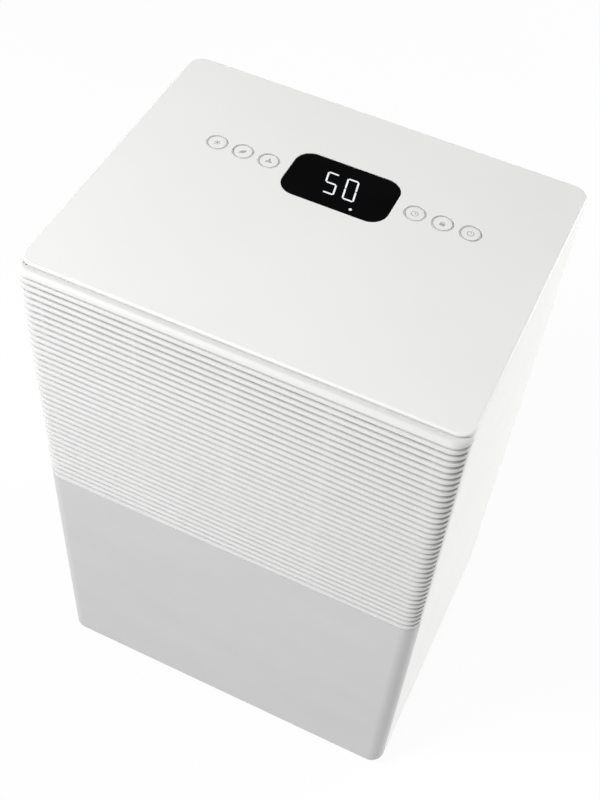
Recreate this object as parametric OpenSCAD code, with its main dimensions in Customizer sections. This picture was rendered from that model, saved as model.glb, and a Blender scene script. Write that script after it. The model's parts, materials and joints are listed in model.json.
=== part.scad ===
// Upright compressor dehumidifier on castors.
// Z is up, -Y is the front, +X is the right-hand side seen from the front.
// The origin is on the floor, under the middle of the cabinet.

/* [Cabinet] */
// Width of the cabinet
body_w = 340; // [320:1:420]
// Depth of the cabinet
body_d = 274; // [274:1:340]
// Height of the cabinet above its lower edge
body_h = 522; // [500:1:640]
// Gap between the floor and the cabinet's lower edge
floor_gap = 14; // [10:1:20]
// Radius of the cabinet's upright corners in plan
corner_r = 13; // [10:0.5:16]
// Wall of the moulded cabinet
wall = 2.5; // [2:0.1:3]
// Width of the seams between the visible panels
seam = 0.8; // [0.5:0.1:1.2]

/* [Top cover] */
// Depth of the top cover's rim
cover_h = 10; // [8:0.5:14]
// Thickness of the top cover's plate
cover_t = 3; // [2.8:0.1:4]
// How far the top cover's front edge sits behind the grille's face
cover_setback = 8; // [6:0.5:9]
// Radius of the top cover's front corners in plan
cover_r = 12; // [8:0.5:14]
// Gap between the top cover and the grille
cover_gap = 1.2; // [1:0.1:2.5]

/* [Front grille] */
// Wall of the grille and of the tank's front panel
front_t = 3; // [2.5:0.1:3.5]
// Height of a slat and a slot together
slat_pitch = 6.8; // [6:0.1:9]
// Height of a slot
slot_h = 3.3; // [2.5:0.1:4]
// Plain band below the first slot and above the last slot
grille_land = 4; // [3:0.5:10]
// Radius of the grille's rounded upper edge
grille_roll = 8; // [6:0.5:9]
// Number of upright ribs behind the slats
rib_n = 5; // [3:1:9]

/* [Display and keys] */
// Width of the display lens
lens_w = 86; // [70:1:92]
// Depth of the display lens
lens_d = 50; // [40:1:56]
// Corner radius of the display lens
lens_r = 14; // [8:0.5:18]
// Distance of the controls behind the cabinet's middle
controls_y = 48; // [20:1:60]
// Distance of the first key on each side from the middle
key_x = 60; // [58:1:64]
// Distance between neighbouring keys
key_pitch = 22; // [20:0.5:24]
// Radius of a key cap
key_r = 6.8; // [6:0.1:8.5]
// Travel of a key
key_travel = 0.6; // [0.4:0.1:1]
// Height of a lit digit
digit_h = 23; // [12:0.5:25]
// How far a digit leans to the left for each unit of its height
digit_lean = 0.2; // [0:0.05:0.3]

/* [Tank] */
// Height of the tank's front panel
panel_h = 271; // [250:1:300]
// Height of the tank's body
tank_h = 190; // [150:1:195]
// Depth of the tank's body
tank_d = 116; // [100:1:120]
// Wall of the tank
tank_t = 2; // [1.6:0.1:3]
// Corner radius of the tank in plan
tank_r = 10; // [6:1:16]
// Radius of the float's pivot pins
float_pin_r = 2; // [1.5:0.1:2.5]

/* [Air path] */
// Thickness of the filter frame
filter_t = 8; // [6:0.5:10]
// Thickness of each coil
coil_t = 26; // [20:1:28]
// Radius of the coils' tubes
tube_r = 4; // [3:0.5:5]
// Number of tube runs in each coil
tube_n = 8; // [6:2:10]
// Number of fins on each coil
fin_n = 30; // [20:1:40]
// Radius of the fan
fan_r = 85; // [60:1:90]
// Depth of the fan
fan_w = 34; // [24:1:40]
// Radius of the fan's hub
hub_r = 28; // [20:1:36]
// Number of fan blades
blade_n = 7; // [3:1:9]
// Radius of the fan motor
motor_r = 38; // [34:1:44]

/* [Machine bay] */
// Radius of the compressor
comp_r = 54; // [45:1:56]
// Height of the compressor
comp_h = 150; // [110:1:170]
// Outer radius of the drain spigot
spigot_r = 7; // [6:0.5:9]
// Wall of the drain spigot
spigot_t = 2; // [1.5:0.1:2.5]
// Radius of the cord gland's bore
gland_r = 3.75; // [3:0.05:4.5]

/* [Castors] */
// Radius of a castor wheel
wheel_r = 14; // [12:0.5:15]
// Width of a castor wheel
wheel_t = 12; // [9:0.5:14]
// Radius of a castor axle
axle_r = 1.5; // [1.2:0.1:2.5]
// Radius of a castor stem
stem_r = 4; // [3:0.1:5]
// Distance of the axle behind the stem
castor_trail = 10; // [8:0.5:12]

/* [Fits] */
// Radial clearance of a shaft or pin that turns in its bore
run_gap = 0.05; // [0.03:0.01:0.08]
// Clearance round a piece that slides
slide_gap = 0.4; // [0.3:0.05:0.6]

/* [Hidden] */
$fn = 64;

// Overshoot of a cutter past the face it cuts
eps = 0.5;

// Levels
z_low = floor_gap;
z_top = floor_gap + body_h;
z_panel = floor_gap + panel_h;
z_cover = z_top - cover_h;
z_plate = z_top - cover_t;
fork_plate_t = 3;
z_fork = 2 * wheel_r + 3;
stem_len = 17;
seat_gap = 0.4;
floor_t = 3;
z_floor = z_fork + fork_plate_t + seat_gap + stem_len - floor_t + 1;
z_bay = z_floor + floor_t;
deck_t = 3;
z_deck = z_panel - 6;
z_air = z_deck + deck_t;

// Faces, front to back
y_front = -body_d / 2;
y_seam = y_front + corner_r;
y_inner_front = y_front + front_t;
y_back = body_d / 2;
y_inner_back = y_back - wall;
x_side = body_w / 2;
x_inner = x_side - wall;

// Tank
rail_h = 2.6;
z_tank = z_bay + rail_h + slide_gap;
z_rim = z_tank + tank_h;
lid_t = 2.6;
tank_w = body_w - 2 * (wall + front_t + 6.5);
y_tank = y_inner_front + 1;
y_tank_back = y_tank + tank_d;
tank_mid_y = (y_tank + y_tank_back) / 2;
y_part = y_tank_back + 3;
funnel_r = 14;
float_x = 130;
float_y = y_tank_back - 13;
float_z = z_rim - 8;
float_gap = 10;
ear_t = 3;

// Air path
filter_y = y_seam + 2 + filter_t / 2;
filter_z = z_air + 6;
filter_h = z_cover - 8 - filter_z;
filter_w = 2 * x_inner - 8;
tray_y = filter_y + filter_t / 2 + 2;
tray_d = 2 * coil_t + 24;
tray_h = 14;
tray_t = 2;
evap_y = tray_y + 3 + coil_t / 2;
cond_y = evap_y + coil_t + 13;
coil_z = z_air + tray_t;
coil_h = 2 * fan_r + 44;
coil_w = body_w - 56;
fin_z = coil_z + tray_h;
fin_h = coil_h - tray_h;
tube_pitch = fin_h / tube_n;
y_shroud = tray_y + tray_d + 4;
shroud_w = 292;
shroud_h = z_cover - 8 - z_air;
duct_r = fan_r + 3;
duct_t = 2.5;
duct_len = fan_w + 14;
fan_y = y_shroud + 8;
fan_z = z_air + duct_r + 22;
shaft_r = 4;
motor_len = 42;
y_motor = y_shroud + duct_len + 8;
arm_t = 5;
outlet_w = 190;
outlet_h = 176;
outlet_z = z_air + 18;
grip_w = 124;
grip_h = 26;
grip_depth = 26;
grip_z = z_cover - 34;

// Machine bay
comp_x = 74;
comp_y = y_inner_back - comp_r - 20;
z_comp = z_bay + 12;
acc_r = 13;
acc_x = comp_x + comp_r + acc_r + 6;
foot_r = comp_r + 8;
foot_t = 3;
grommet_r = 9;
spout_x = -120;
spout_z = z_bay + 150;
spout_cup_r = 20;
spout_depth = 23;
spigot_len = 17;
plug_len = 10;
gland_x = 130;
gland_z = z_bay + 26;
gland_len = 14;
cap_x = -70;
cap_y = y_inner_back - 40;

// Controls
lens_step = 2;
lens_t = 1.8;
lens_lap = 4;
key_gap = 0.35;
board_w = 2 * (key_x + 2 * key_pitch) + 26;
board_d = 50;
board_t = 1.6;
z_board = z_top - 12;
switch_h = 3.4;
nub_h = 0.3;
flange_t = 1.5;
flange_r = key_r + 1.4;
hold_gap = 0.3;
z_flange = z_plate - hold_gap - flange_t;
stem_z = z_board + board_t + switch_h + nub_h + key_travel + hold_gap;
key_xs = [-key_x - 2 * key_pitch, -key_x - key_pitch, -key_x,
    key_x, key_x + key_pitch, key_x + 2 * key_pitch];

// Castors
castor_x = x_side - 38;
castor_front = y_seam + 38;
castor_back = y_inner_back - 36;
castor_pts = [[-castor_x, castor_front], [castor_x, castor_front],
    [-castor_x, castor_back], [castor_x, castor_back]];
fork_t = 2;
fork_gap = 0.5;

white = [0.93, 0.93, 0.92];
panel_grey = [0.86, 0.86, 0.86];
steel = [0.72, 0.73, 0.75];
copper = [0.78, 0.45, 0.28];
dark = [0.12, 0.12, 0.13];

// ---------- helpers ----------

// Rectangle with round corners, centred
module round_rect(w, d, r) {
    square([w - 2 * r, d], center = true);
    square([w, d - 2 * r], center = true);
    for (sx = [-1, 1], sy = [-1, 1])
        translate([sx * (w / 2 - r), sy * (d / 2 - r)]) circle(r = r);
}

// Plan of the cabinet, drawn in by an inset
module body_plan(inset = 0) {
    round_rect(body_w - 2 * inset, body_d - 2 * inset, max(corner_r - inset, 0.5));
}

// Half plane in front of, or behind, a line across the cabinet
module ahead_of(y) { translate([-body_w, y - 2 * body_d]) square([2 * body_w, 2 * body_d]); }
module behind(y) { translate([-body_w, y]) square([2 * body_w, 2 * body_d]); }

// Cylinder along Y, from y0 to y1
module y_rod(r, x, z, y0, y1) {
    translate([x, y1, z]) rotate([90, 0, 0]) cylinder(r = r, h = y1 - y0);
}

// Cylinder along X, from x0 to x1
module x_rod(r, y, z, x0, x1) {
    translate([x0, y, z]) rotate([0, 90, 0]) cylinder(r = r, h = x1 - x0);
}

// Box given by its corners
module block(a, b) { translate(a) cube(b - a); }

// Round bar along a list of points, with a ball at each bend
module bent_bar(points, r) {
    for (i = [0 : len(points) - 2]) {
        v = points[i + 1] - points[i];
        translate(points[i])
            rotate([0, acos(v.z / norm(v)), atan2(v.y, v.x)])
                cylinder(r = r, h = norm(v));
    }
    for (i = [1 : len(points) - 2]) translate(points[i]) sphere(r = 1.04 * r);
}

// Outline of the nose from its back (0) to its face, with a round upper front edge
module roll_profile(depth, h, r) {
    square([depth, h - r]);
    square([depth - r, h]);
    intersection() {
        translate([depth - r, h - r]) circle(r = r);
        square([depth, h]);
    }
}

// The cabinet's front with round upright corners and a rolled upper edge
module nose(inset, z, h, roll) {
    depth = corner_r - inset;
    flat = body_w / 2 - corner_r;
    translate([flat, y_seam, z]) rotate([90, 0, -90]) linear_extrude(2 * flat)
        roll_profile(depth, h, roll);
    translate([-flat, y_seam, z]) rotate([0, 0, 180]) rotate_extrude(angle = 90)
        roll_profile(depth, h, roll);
    translate([flat, y_seam, z]) rotate([0, 0, 270]) rotate_extrude(angle = 90)
        roll_profile(depth, h, roll);
}

// Plan of the top cover, grown by a gap
module cover_plan(grow = 0) {
    y0 = y_front + cover_setback - grow;
    intersection() {
        body_plan(-grow);
        translate([0, y0 + body_d]) round_rect(body_w + 2 * grow, 2 * body_d, cover_r + grow);
    }
}

// ---------- cabinet ----------

module base_pan() {
    color(dark) difference() {
        union() {
            translate([0, 0, z_floor]) linear_extrude(floor_t) pan_plan(0);
            translate([0, 0, z_low + 1]) linear_extrude(z_floor - z_low) difference() {
                pan_plan(0);
                pan_plan(wall);
            }
            for (p = castor_pts)
                translate([p.x, p.y, z_fork + fork_plate_t + seat_gap]) cylinder(r = stem_r + 4, h = stem_len);
            for (s = [-1, 1])
                block([s * 120 - 5, y_seam + 8, z_bay - eps], [s * 120 + 5, y_part - 4, z_bay + rail_h]);
            for (a = comp_feet()) translate([a.x, a.y, z_bay - eps]) cylinder(r = 5, h = 3 + eps);
        }
        for (p = castor_pts)
            translate([p.x, p.y, z_fork]) cylinder(r = stem_r + run_gap, h = stem_len + fork_plate_t);
        for (a = comp_feet()) translate([a.x, a.y, z_bay - 2]) cylinder(r = 2.1, h = 6);
        for (p = screw_pts) y_rod(6.5, p.x, p.y, y_inner_back - 8, y_inner_back + 1);
    }
}

// Plan of the base pan, drawn in by an inset
module pan_plan(inset) {
    intersection() {
        body_plan(wall + slide_gap + inset);
        behind(y_seam + 3 + inset);
    }
}

foot_angles = [90, 210, 330];
function comp_feet() = [for (a = foot_angles) [comp_x + foot_r * cos(a), comp_y + foot_r * sin(a)]];

module deck() {
    color(dark) difference() {
        union() {
            translate([0, 0, z_deck]) linear_extrude(deck_t) pan_plan(0);
            // rail that carries the filter
            block([-x_inner + 20, filter_y - filter_t / 2 + 1.5, z_air - eps],
                [x_inner - 20, filter_y + filter_t / 2, filter_z - slide_gap]);
        }
        for (p = [[0, tray_mid_y(), 7], [spout_x, hose_y, 7], [suction_x, line_y, line_r + 3],
            [discharge_x, discharge_y, line_r + 3]])
            translate([p.x, p.y, z_deck - eps]) cylinder(r = p.z, h = deck_t + 2 * eps);
    }
}

function tray_mid_y() = tray_y + tray_d / 2;

module bay_partition() {
    color(dark) difference() {
        block([-x_inner + 1, y_part, z_bay], [x_inner - 1, y_part + wall, z_deck]);
        y_rod(spigot_r + 1, spout_x, z_deck - 16, y_part - eps, y_part + wall + eps);
    }
}

module rear_shell() {
    z1 = z_cover - seam;
    color(white) difference() {
        union() {
            translate([0, 0, z_low]) linear_extrude(z1 - z_low) difference() {
                intersection() { body_plan(); behind(y_seam + seam); }
                body_plan(wall);
            }
            for (p = screw_pts) y_rod(6, p.x, p.y, y_inner_back - 6, y_inner_back + 1);
        }
        // outlet, grip, drain and cord openings in the back
        block([-outlet_w / 2, y_inner_back - eps, outlet_z],
            [outlet_w / 2, y_back + eps, outlet_z + outlet_h]);
        block([-grip_w / 2, y_inner_back - eps, grip_z],
            [grip_w / 2, y_back + eps, grip_z + grip_h]);
        y_rod(spout_cup_r, spout_x, spout_z, y_inner_back - eps, y_back + eps);
        y_rod(8, gland_x, gland_z, y_inner_back - eps, y_back + eps);
        // notch in the left side for the filter
        block([-x_side - eps, y_seam - eps, filter_z - slide_gap],
            [-x_inner + eps, filter_y + filter_t / 2 + slide_gap, filter_z + filter_h + slide_gap]);
        for (p = screw_pts) {
            y_rod(2, p.x, p.y, y_inner_back - 7, y_back + eps);
            y_rod(4, p.x, p.y, y_back - 2.2, y_back + eps);
        }
    }
}

screw_pts = [for (s = [-1, 1], z = [z_low + 20, z_cover - 14]) [s * (x_side - 22), z]];

module cover_screws() {
    color(steel) for (p = screw_pts) {
        y_rod(1.95, p.x, p.y, y_inner_back - 6, y_back - 2.2);
        difference() {
            y_rod(3.8, p.x, p.y, y_back - 2.2, y_back - 0.2);
            block([p.x - 2.4, y_back - 1.2, p.y - 0.5], [p.x + 2.4, y_back, p.y + 0.5]);
            block([p.x - 0.5, y_back - 1.2, p.y - 2.4], [p.x + 0.5, y_back, p.y + 2.4]);
        }
    }
}

module top_cover() {
    color(white) difference() {
        union() {
            translate([0, 0, z_plate]) linear_extrude(cover_t) cover_plan();
            translate([0, 0, z_cover]) linear_extrude(cover_h) difference() {
                cover_plan();
                cover_plan(-wall);
            }
            for (sx = [-1, 1], sy = [-1, 1])
                translate([sx * (board_w / 2 - 5), controls_y + sy * (board_d / 2 - 5), z_board + board_t])
                    cylinder(r = 3, h = z_plate - z_board - board_t + eps);
        }
        translate([0, controls_y, z_top - lens_step]) linear_extrude(lens_step + eps)
            round_rect(lens_w + 0.6, lens_d + 0.6, lens_r + 0.3);
        translate([0, controls_y, z_plate - eps]) linear_extrude(cover_t)
            round_rect(lens_w - 2 * lens_lap, lens_d - 2 * lens_lap, lens_r - lens_lap);
        for (x = key_xs) translate([x, controls_y, z_plate - eps]) cylinder(r = key_r + key_gap, h = cover_t + 2 * eps);
    }
}

// ---------- front ----------

slot_z0 = z_panel + grille_land;
slot_n = floor((z_top - 1 - grille_land - slot_h - slot_z0) / slat_pitch) + 1;

// Band round the nose that a slot runs through
module slot_band() {
    difference() {
        intersection() { body_plan(-1); ahead_of(y_seam - 4); }
        body_plan(grille_roll + 1);
    }
}

module front_grille() {
    h = z_top - 1 - z_panel;
    color(white) difference() {
        union() {
            difference() {
                nose(0, z_panel, h, grille_roll);
                nose(front_t, z_panel - eps, h - front_t + eps, grille_roll - front_t);
                block([-x_side + front_t, y_seam - 1, z_panel - eps], [x_side - front_t, y_seam + 1, z_top]);
                for (i = [0 : slot_n - 1])
                    translate([0, 0, slot_z0 + i * slat_pitch]) linear_extrude(slot_h) slot_band();
            }
            for (i = [0 : rib_n - 1]) {
                x = (i - (rib_n - 1) / 2) * (body_w - 40) / (rib_n - 1);
                block([x - 1, y_inner_front - eps, z_panel + 1], [x + 1, y_inner_front + 3, z_cover - 2 * cover_gap]);
            }
        }
        translate([0, 0, z_cover - cover_gap]) linear_extrude(cover_h + 2 * cover_gap) cover_plan(cover_gap);
    }
}

module tank_front() {
    h = z_panel - seam - z_low;
    color(panel_grey) {
        difference() {
            translate([0, 0, z_low]) linear_extrude(h) intersection() { body_plan(); ahead_of(y_seam); }
            translate([0, 0, z_low + front_t]) linear_extrude(h) body_plan(front_t);
            translate([0, 0, z_low - eps]) linear_extrude(h) difference() {
                body_plan(front_t + 6);
                ahead_of(y_front + front_t + 6);
            }
        }
        // pads that carry the tank
        for (s = [-1, 1], z = [z_tank + 30, z_rim - 30])
            block([s * 110 - 12, y_inner_front, z - 8], [s * 110 + 12, y_tank, z + 8]);
    }
}

// ---------- controls ----------

module display_lens() {
    color("black") translate([0, controls_y, z_top - lens_step]) linear_extrude(lens_t)
        round_rect(lens_w, lens_d, lens_r);
}

// One seven-segment digit: lit names the segments that are on
// One bar of a digit from a to b, pointed at both ends, leaning with the digit
module digit_bar(a, b, t) {
    d = (b - a) / norm(b - a);
    n = [-d[1], d[0]];
    p = a + d * t * 0.12;
    q = b - d * t * 0.12;
    points = [p, p + (d + n) * t / 2, q - (d - n) * t / 2, q, q - (d + n) * t / 2, p + (d - n) * t / 2];
    polygon([for (c = points) [c[0] - digit_lean * c[1], c[1]]]);
}

module digit(lit) {
    t = digit_h * 0.06;
    w = digit_h * 0.215 - t / 2;
    h = (digit_h - t) / 2;
    // top, top right, bottom right, bottom, bottom left, top left, middle
    ends = [[[-w, h], [w, h]], [[w, h], [w, 0]], [[w, 0], [w, -h]], [[-w, -h], [w, -h]],
        [[-w, 0], [-w, -h]], [[-w, h], [-w, 0]], [[-w, 0], [w, 0]]];
    for (i = lit) digit_bar(ends[i][0], ends[i][1], t);
}

digit_t = 0.15;
digit_step = digit_h * 0.7;
dot_r = 1.2;
dot_drop = 19.2;

module lit_digits() {
    color("white") translate([0, controls_y, z_top - lens_step + lens_t]) {
        translate([-digit_step / 2, 0, 0]) linear_extrude(digit_t) digit([0, 5, 6, 2, 3]);
        translate([digit_step / 2, 0, 0]) linear_extrude(digit_t) digit([0, 1, 2, 3, 4, 5]);
        translate([digit_step, -dot_drop, 0]) cylinder(r = dot_r, h = digit_t);
    }
}

module display_board() {
    color("darkgreen") difference() {
        union() {
            translate([-board_w / 2, controls_y - board_d / 2, z_board]) cube([board_w, board_d, board_t]);
            translate([-32, controls_y - 14, z_board]) cube([64, 28, board_t + 5]);
        }
        for (sx = [-1, 1], sy = [-1, 1])
            translate([sx * (board_w / 2 - 5), controls_y + sy * (board_d / 2 - 5), z_board - eps])
                cylinder(r = 1.3, h = board_t + 2 * eps);
    }
}

module key_switches() {
    color("dimgray") for (x = key_xs) translate([x, controls_y, z_board + board_t]) {
        translate([-3, -3, 0]) cube([6, 6, switch_h]);
        cylinder(r = 1.7, h = switch_h + nub_h);
    }
}

module key_cap(i) {
    color(white) translate([key_xs[i], controls_y, 0]) {
        translate([0, 0, z_flange]) cylinder(r = key_r, h = z_top - z_flange);
        translate([0, 0, z_flange]) cylinder(r = flange_r, h = flange_t);
        translate([0, 0, stem_z]) cylinder(r = 2.5, h = z_flange - stem_z + 0.2);
    }
}

module key_fan_speed() { key_cap(0); }
module key_mode() { key_cap(1); }
module key_swing() { key_cap(2); }
module key_timer() { key_cap(3); }
module key_lock() { key_cap(4); }
module key_power() { key_cap(5); }

// Back end of the electronics box, ahead of the cabinet's rounded corner
y_box = y_back - corner_r - 2;
box_t = 2;
box_h = 130;

module electronics_box() {
    color("gray") difference() {
        block([x_inner - 60, y_motor - 12, z_air], [x_inner - 1, y_box, z_air + box_h]);
        block([x_inner - 61, y_motor - 12 + box_t, z_air + box_t],
            [x_inner - 1 - box_t, y_box - box_t, z_air + box_h - box_t]);
    }
}

module power_board() {
    x = x_inner - 8;
    y0 = y_motor - 8;
    y1 = y_box - 2 * box_t;
    color("darkgreen") {
        block([x - board_t, y0, z_air + 6], [x, y1, z_air + 124]);
        block([x - 30, y0 + 6, z_air + 12], [x - board_t, y0 + 36, z_air + 48]);
        block([x - 18, y0 + 8, z_air + 84], [x - board_t, y0 + 24, z_air + 104]);
        for (z = [z_air + 62, z_air + 80]) x_rod(7, y1 - 14, z, x - 26, x - board_t + 0.2);
        for (y = [y0 + 4, y1 - 4], z = [z_air + 10, z_air + 120]) x_rod(2.5, y, z, x - 0.2, x_inner - 3);
    }
}

// ---------- air path ----------

module filter_frame() {
    y0 = filter_y - filter_t / 2;
    x0 = -x_inner + 3;
    color("gray") {
        difference() {
            block([x0, y0, filter_z], [x0 + filter_w, y0 + filter_t, filter_z + filter_h]);
            for (i = [0 : 3], j = [0 : 1]) {
                cw = (filter_w - 8 * 5) / 4;
                ch = (filter_h - 8 * 3) / 2;
                block([x0 + 8 + i * (cw + 8), y0 - eps, filter_z + 8 + j * (ch + 8)],
                    [x0 + 8 + i * (cw + 8) + cw, y0 + filter_t + eps, filter_z + 8 + j * (ch + 8) + ch]);
            }
        }
        // end plate that closes the notch, with a finger pull
        difference() {
            block([-x_side, y_seam + seam, filter_z], [x0 + 1, filter_y + filter_t / 2, filter_z + filter_h]);
            block([-x_side - eps, y_seam + seam + 2, filter_z + filter_h / 2 - 24],
                [-x_side + 2.4, filter_y + filter_t / 2 - 1.5, filter_z + filter_h / 2 + 24]);
        }
    }
}

module filter_mesh() {
    x0 = -x_inner + 3;
    cw = (filter_w - 8 * 5) / 4;
    ch = (filter_h - 8 * 3) / 2;
    color("darkgray") for (i = [0 : 3], j = [0 : 1])
        block([x0 + 8 + i * (cw + 8), filter_y - 0.5, filter_z + 8 + j * (ch + 8)],
            [x0 + 8 + i * (cw + 8) + cw, filter_y + 0.5, filter_z + 8 + j * (ch + 8) + ch]);
}

// Finned coil with its tube runs, end plates and return bends
module coil(y) {
    runs = [for (i = [0 : tube_n - 1]) fin_z + (i + 0.5) * tube_pitch];
    for (i = [0 : fin_n - 1]) {
        x = (i - (fin_n - 1) / 2) * (coil_w - 8) / (fin_n - 1);
        block([x - 0.4, y - coil_t / 2, fin_z], [x + 0.4, y + coil_t / 2, fin_z + fin_h]);
    }
    for (s = [-1, 1])
        block([s * coil_w / 2 - 0.8, y - coil_t / 2, coil_z], [s * coil_w / 2 + 0.8, y + coil_t / 2, fin_z + fin_h]);
    for (z = runs) x_rod(tube_r, y, z, -coil_w / 2 - 3, coil_w / 2 + 3);
    for (i = [0 : tube_n - 2]) {
        s = i % 2 == 0 ? -1 : 1;
        translate([s * (coil_w / 2 + 2), y, (runs[i] + runs[i + 1]) / 2]) rotate([90, 0, 0])
            rotate([0, 0, -90 * s]) rotate_extrude(angle = 180)
                translate([tube_pitch / 2, 0]) circle(r = tube_r + 0.4);
    }
}

run_low = fin_z + 0.5 * fin_h / tube_n;
run_high = fin_z + (tube_n - 0.5) * fin_h / tube_n;

module evaporator() { color("silver") coil(evap_y); }
module condenser() { color("silver") coil(cond_y); }

module drip_tray() {
    x = coil_w / 2 + 8;
    m = tray_mid_y();
    color("darkgray") difference() {
        union() {
            difference() {
                block([-x, tray_y, z_air], [x, tray_y + tray_d, z_air + tray_h]);
                block([-x + tray_t, tray_y + tray_t, z_air + tray_t],
                    [x - tray_t, tray_y + tray_d - tray_t, z_air + tray_h + eps]);
            }
            translate([0, m, z_deck - 14]) cylinder(r = 6, h = z_air - z_deck + 15);
            translate([spout_x, hose_y, z_deck - 8]) cylinder(r = 6, h = z_air - z_deck + 9);
        }
        translate([0, m, z_deck - 15]) cylinder(r = 4, h = 30);
        translate([spout_x, hose_y, z_deck - 9]) cylinder(r = 4, h = 30);
    }
}

module fan_shroud() {
    color(dark) difference() {
        union() {
            block([-shroud_w / 2, y_shroud, z_air], [shroud_w / 2, y_shroud + wall, z_air + shroud_h]);
            y_rod(duct_r + duct_t, 0, fan_z, y_shroud, y_shroud + duct_len);
            for (a = [45 : 90 : 315])
                y_rod(5, (duct_r + 8) * cos(a), fan_z + (duct_r + 8) * sin(a), y_shroud, y_motor - arm_t);
        }
        y_rod(duct_r, 0, fan_z, y_shroud - eps, y_shroud + duct_len + eps);
    }
}

module motor_bracket() {
    color(steel) translate([0, y_motor, fan_z]) rotate([90, 0, 0]) linear_extrude(arm_t) difference() {
        union() {
            circle(r = motor_r);
            for (a = [45 : 90 : 315]) rotate(a) translate([0, -6]) square([duct_r + 15, 12]);
        }
        circle(r = shaft_r + 4);
    }
}

module fan_motor() {
    color(steel) difference() {
        union() {
            y_rod(motor_r, 0, fan_z, y_motor, y_motor + motor_len - 8);
            y_rod(motor_r - 8, 0, fan_z, y_motor + motor_len - 9, y_motor + motor_len);
            y_rod(shaft_r + 3.5, 0, fan_z, y_motor - 3, y_motor + 1);
        }
        y_rod(shaft_r + run_gap, 0, fan_z, y_motor - 4, y_motor + motor_len - 12);
    }
}

module motor_shaft() {
    color("silver") {
        y_rod(shaft_r, 0, fan_z, fan_y - 4, y_motor + motor_len - 13);
        y_rod(shaft_r + 3, 0, fan_z, fan_y - 3, fan_y);
    }
}

module fan_wheel() {
    color("gainsboro") difference() {
        union() {
            y_rod(hub_r, 0, fan_z, fan_y, fan_y + fan_w);
            for (i = [0 : blade_n - 1]) translate([0, fan_y + fan_w / 2, fan_z])
                rotate([0, i * 360 / blade_n, 0]) intersection() {
                    rotate([35, 0, 0]) block([hub_r - 3, -0.9, -fan_w * 0.8], [fan_r + 6, 0.9, fan_w * 0.8]);
                    rotate([90, 0, 0]) translate([0, 0, -fan_w / 2]) cylinder(r = fan_r, h = fan_w);
                }
        }
        y_rod(shaft_r, 0, fan_z, fan_y - eps, fan_y + fan_w + eps);
        y_rod(hub_r - 3, 0, fan_z, fan_y + 4, fan_y + fan_w + eps);
    }
    color("gainsboro") difference() {
        y_rod(shaft_r + 5, 0, fan_z, fan_y + 3, fan_y + fan_w);
        y_rod(shaft_r, 0, fan_z, fan_y, fan_y + fan_w + eps);
    }
}

module outlet_grille() {
    w = outlet_w - 0.6;
    h = outlet_h - 0.6;
    z0 = outlet_z + 0.3;
    bar = 8;
    n = floor((h - 2 * bar) / slat_pitch);
    color(white) {
        difference() {
            block([-w / 2, y_back - 6, z0], [w / 2, y_back, z0 + h]);
            for (i = [0 : n - 1])
                block([-w / 2 + bar, y_back - 6 - eps, z0 + bar + i * slat_pitch],
                    [w / 2 - bar, y_back + eps, z0 + bar + i * slat_pitch + slot_h]);
        }
        for (i = [-1, 0, 1]) block([i * 46 - 1, y_back - 5.5, z0 + 2], [i * 46 + 1, y_back - 1.5, z0 + h - 2]);
    }
}

module rear_grip_cup() {
    w = grip_w - 0.6;
    h = grip_h - 0.6;
    z0 = grip_z + 0.3;
    color(white) difference() {
        block([-w / 2, y_back - grip_depth, z0], [w / 2, y_back, z0 + h]);
        block([-w / 2 + 2, y_back - grip_depth + 2, z0 + 2], [w / 2 - 2, y_back + eps, z0 + h - 2]);
    }
}

// ---------- machine bay ----------

module compressor() {
    dome_r = 24;
    color(dark) {
        translate([comp_x, comp_y, z_comp]) rotate_extrude() {
            square([comp_r, comp_h - dome_r]);
            square([comp_r - dome_r, comp_h]);
            intersection() {
                translate([comp_r - dome_r, comp_h - dome_r]) circle(r = dome_r);
                square([comp_r, comp_h]);
            }
        }
        // foot plate
        translate([comp_x, comp_y, z_comp - 6]) {
            cylinder(r = comp_r - 6, h = 7);
            linear_extrude(foot_t) difference() {
                for (a = foot_angles) rotate(a) {
                    translate([0, -8]) square([foot_r, 16]);
                    translate([foot_r, 0]) circle(r = 9);
                }
                for (a = foot_angles) rotate(a) translate([foot_r, 0]) circle(r = 5);
            }
        }
        // suction accumulator and its strap
        translate([acc_x, comp_y, z_comp + 24]) cylinder(r = acc_r, h = comp_h - 40);
        block([comp_x + comp_r - 3, comp_y - 4, z_comp + 60], [acc_x, comp_y + 4, z_comp + 74]);
        // terminal cover
        block([comp_x - 16, comp_y - comp_r - 7, z_comp + 84], [comp_x + 16, comp_y - comp_r + 10, z_comp + 116]);
    }
}

module compressor_grommets() {
    color("black") for (a = comp_feet()) translate([a.x, a.y, 0]) difference() {
        union() {
            translate([0, 0, z_bay + 3]) cylinder(r = grommet_r - 1, h = z_comp - 6 - z_bay - 3);
            translate([0, 0, z_bay + 3]) cylinder(r = 5, h = z_comp - z_bay - 3);
        }
        translate([0, 0, z_bay + 2]) cylinder(r = 2.6, h = z_comp - z_bay);
    }
}

module compressor_bolts() {
    color(steel) for (a = comp_feet()) translate([a.x, a.y, 0]) {
        translate([0, 0, z_bay - 1.5]) cylinder(r = 2, h = z_comp - z_bay + 2);
        translate([0, 0, z_comp]) cylinder(r = 4, h = 3, $fn = 6);
    }
}

line_r = tube_r - 0.5;
suction_x = x_inner - 8;
line_y = y_part + wall + 8;
discharge_x = coil_w / 2 + 9.5;
discharge_y = y_part + wall + line_r + 2.5;
coil_end = coil_w / 2 + 3;

module suction_line() {
    z1 = z_comp + comp_h + 30;
    color(copper) bent_bar([[coil_end, evap_y, run_low], [suction_x, evap_y, run_low],
        [suction_x, line_y, run_low], [suction_x, line_y, z1], [acc_x, comp_y, z1],
        [acc_x, comp_y, z_comp + comp_h - 16]], line_r);
}

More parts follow.
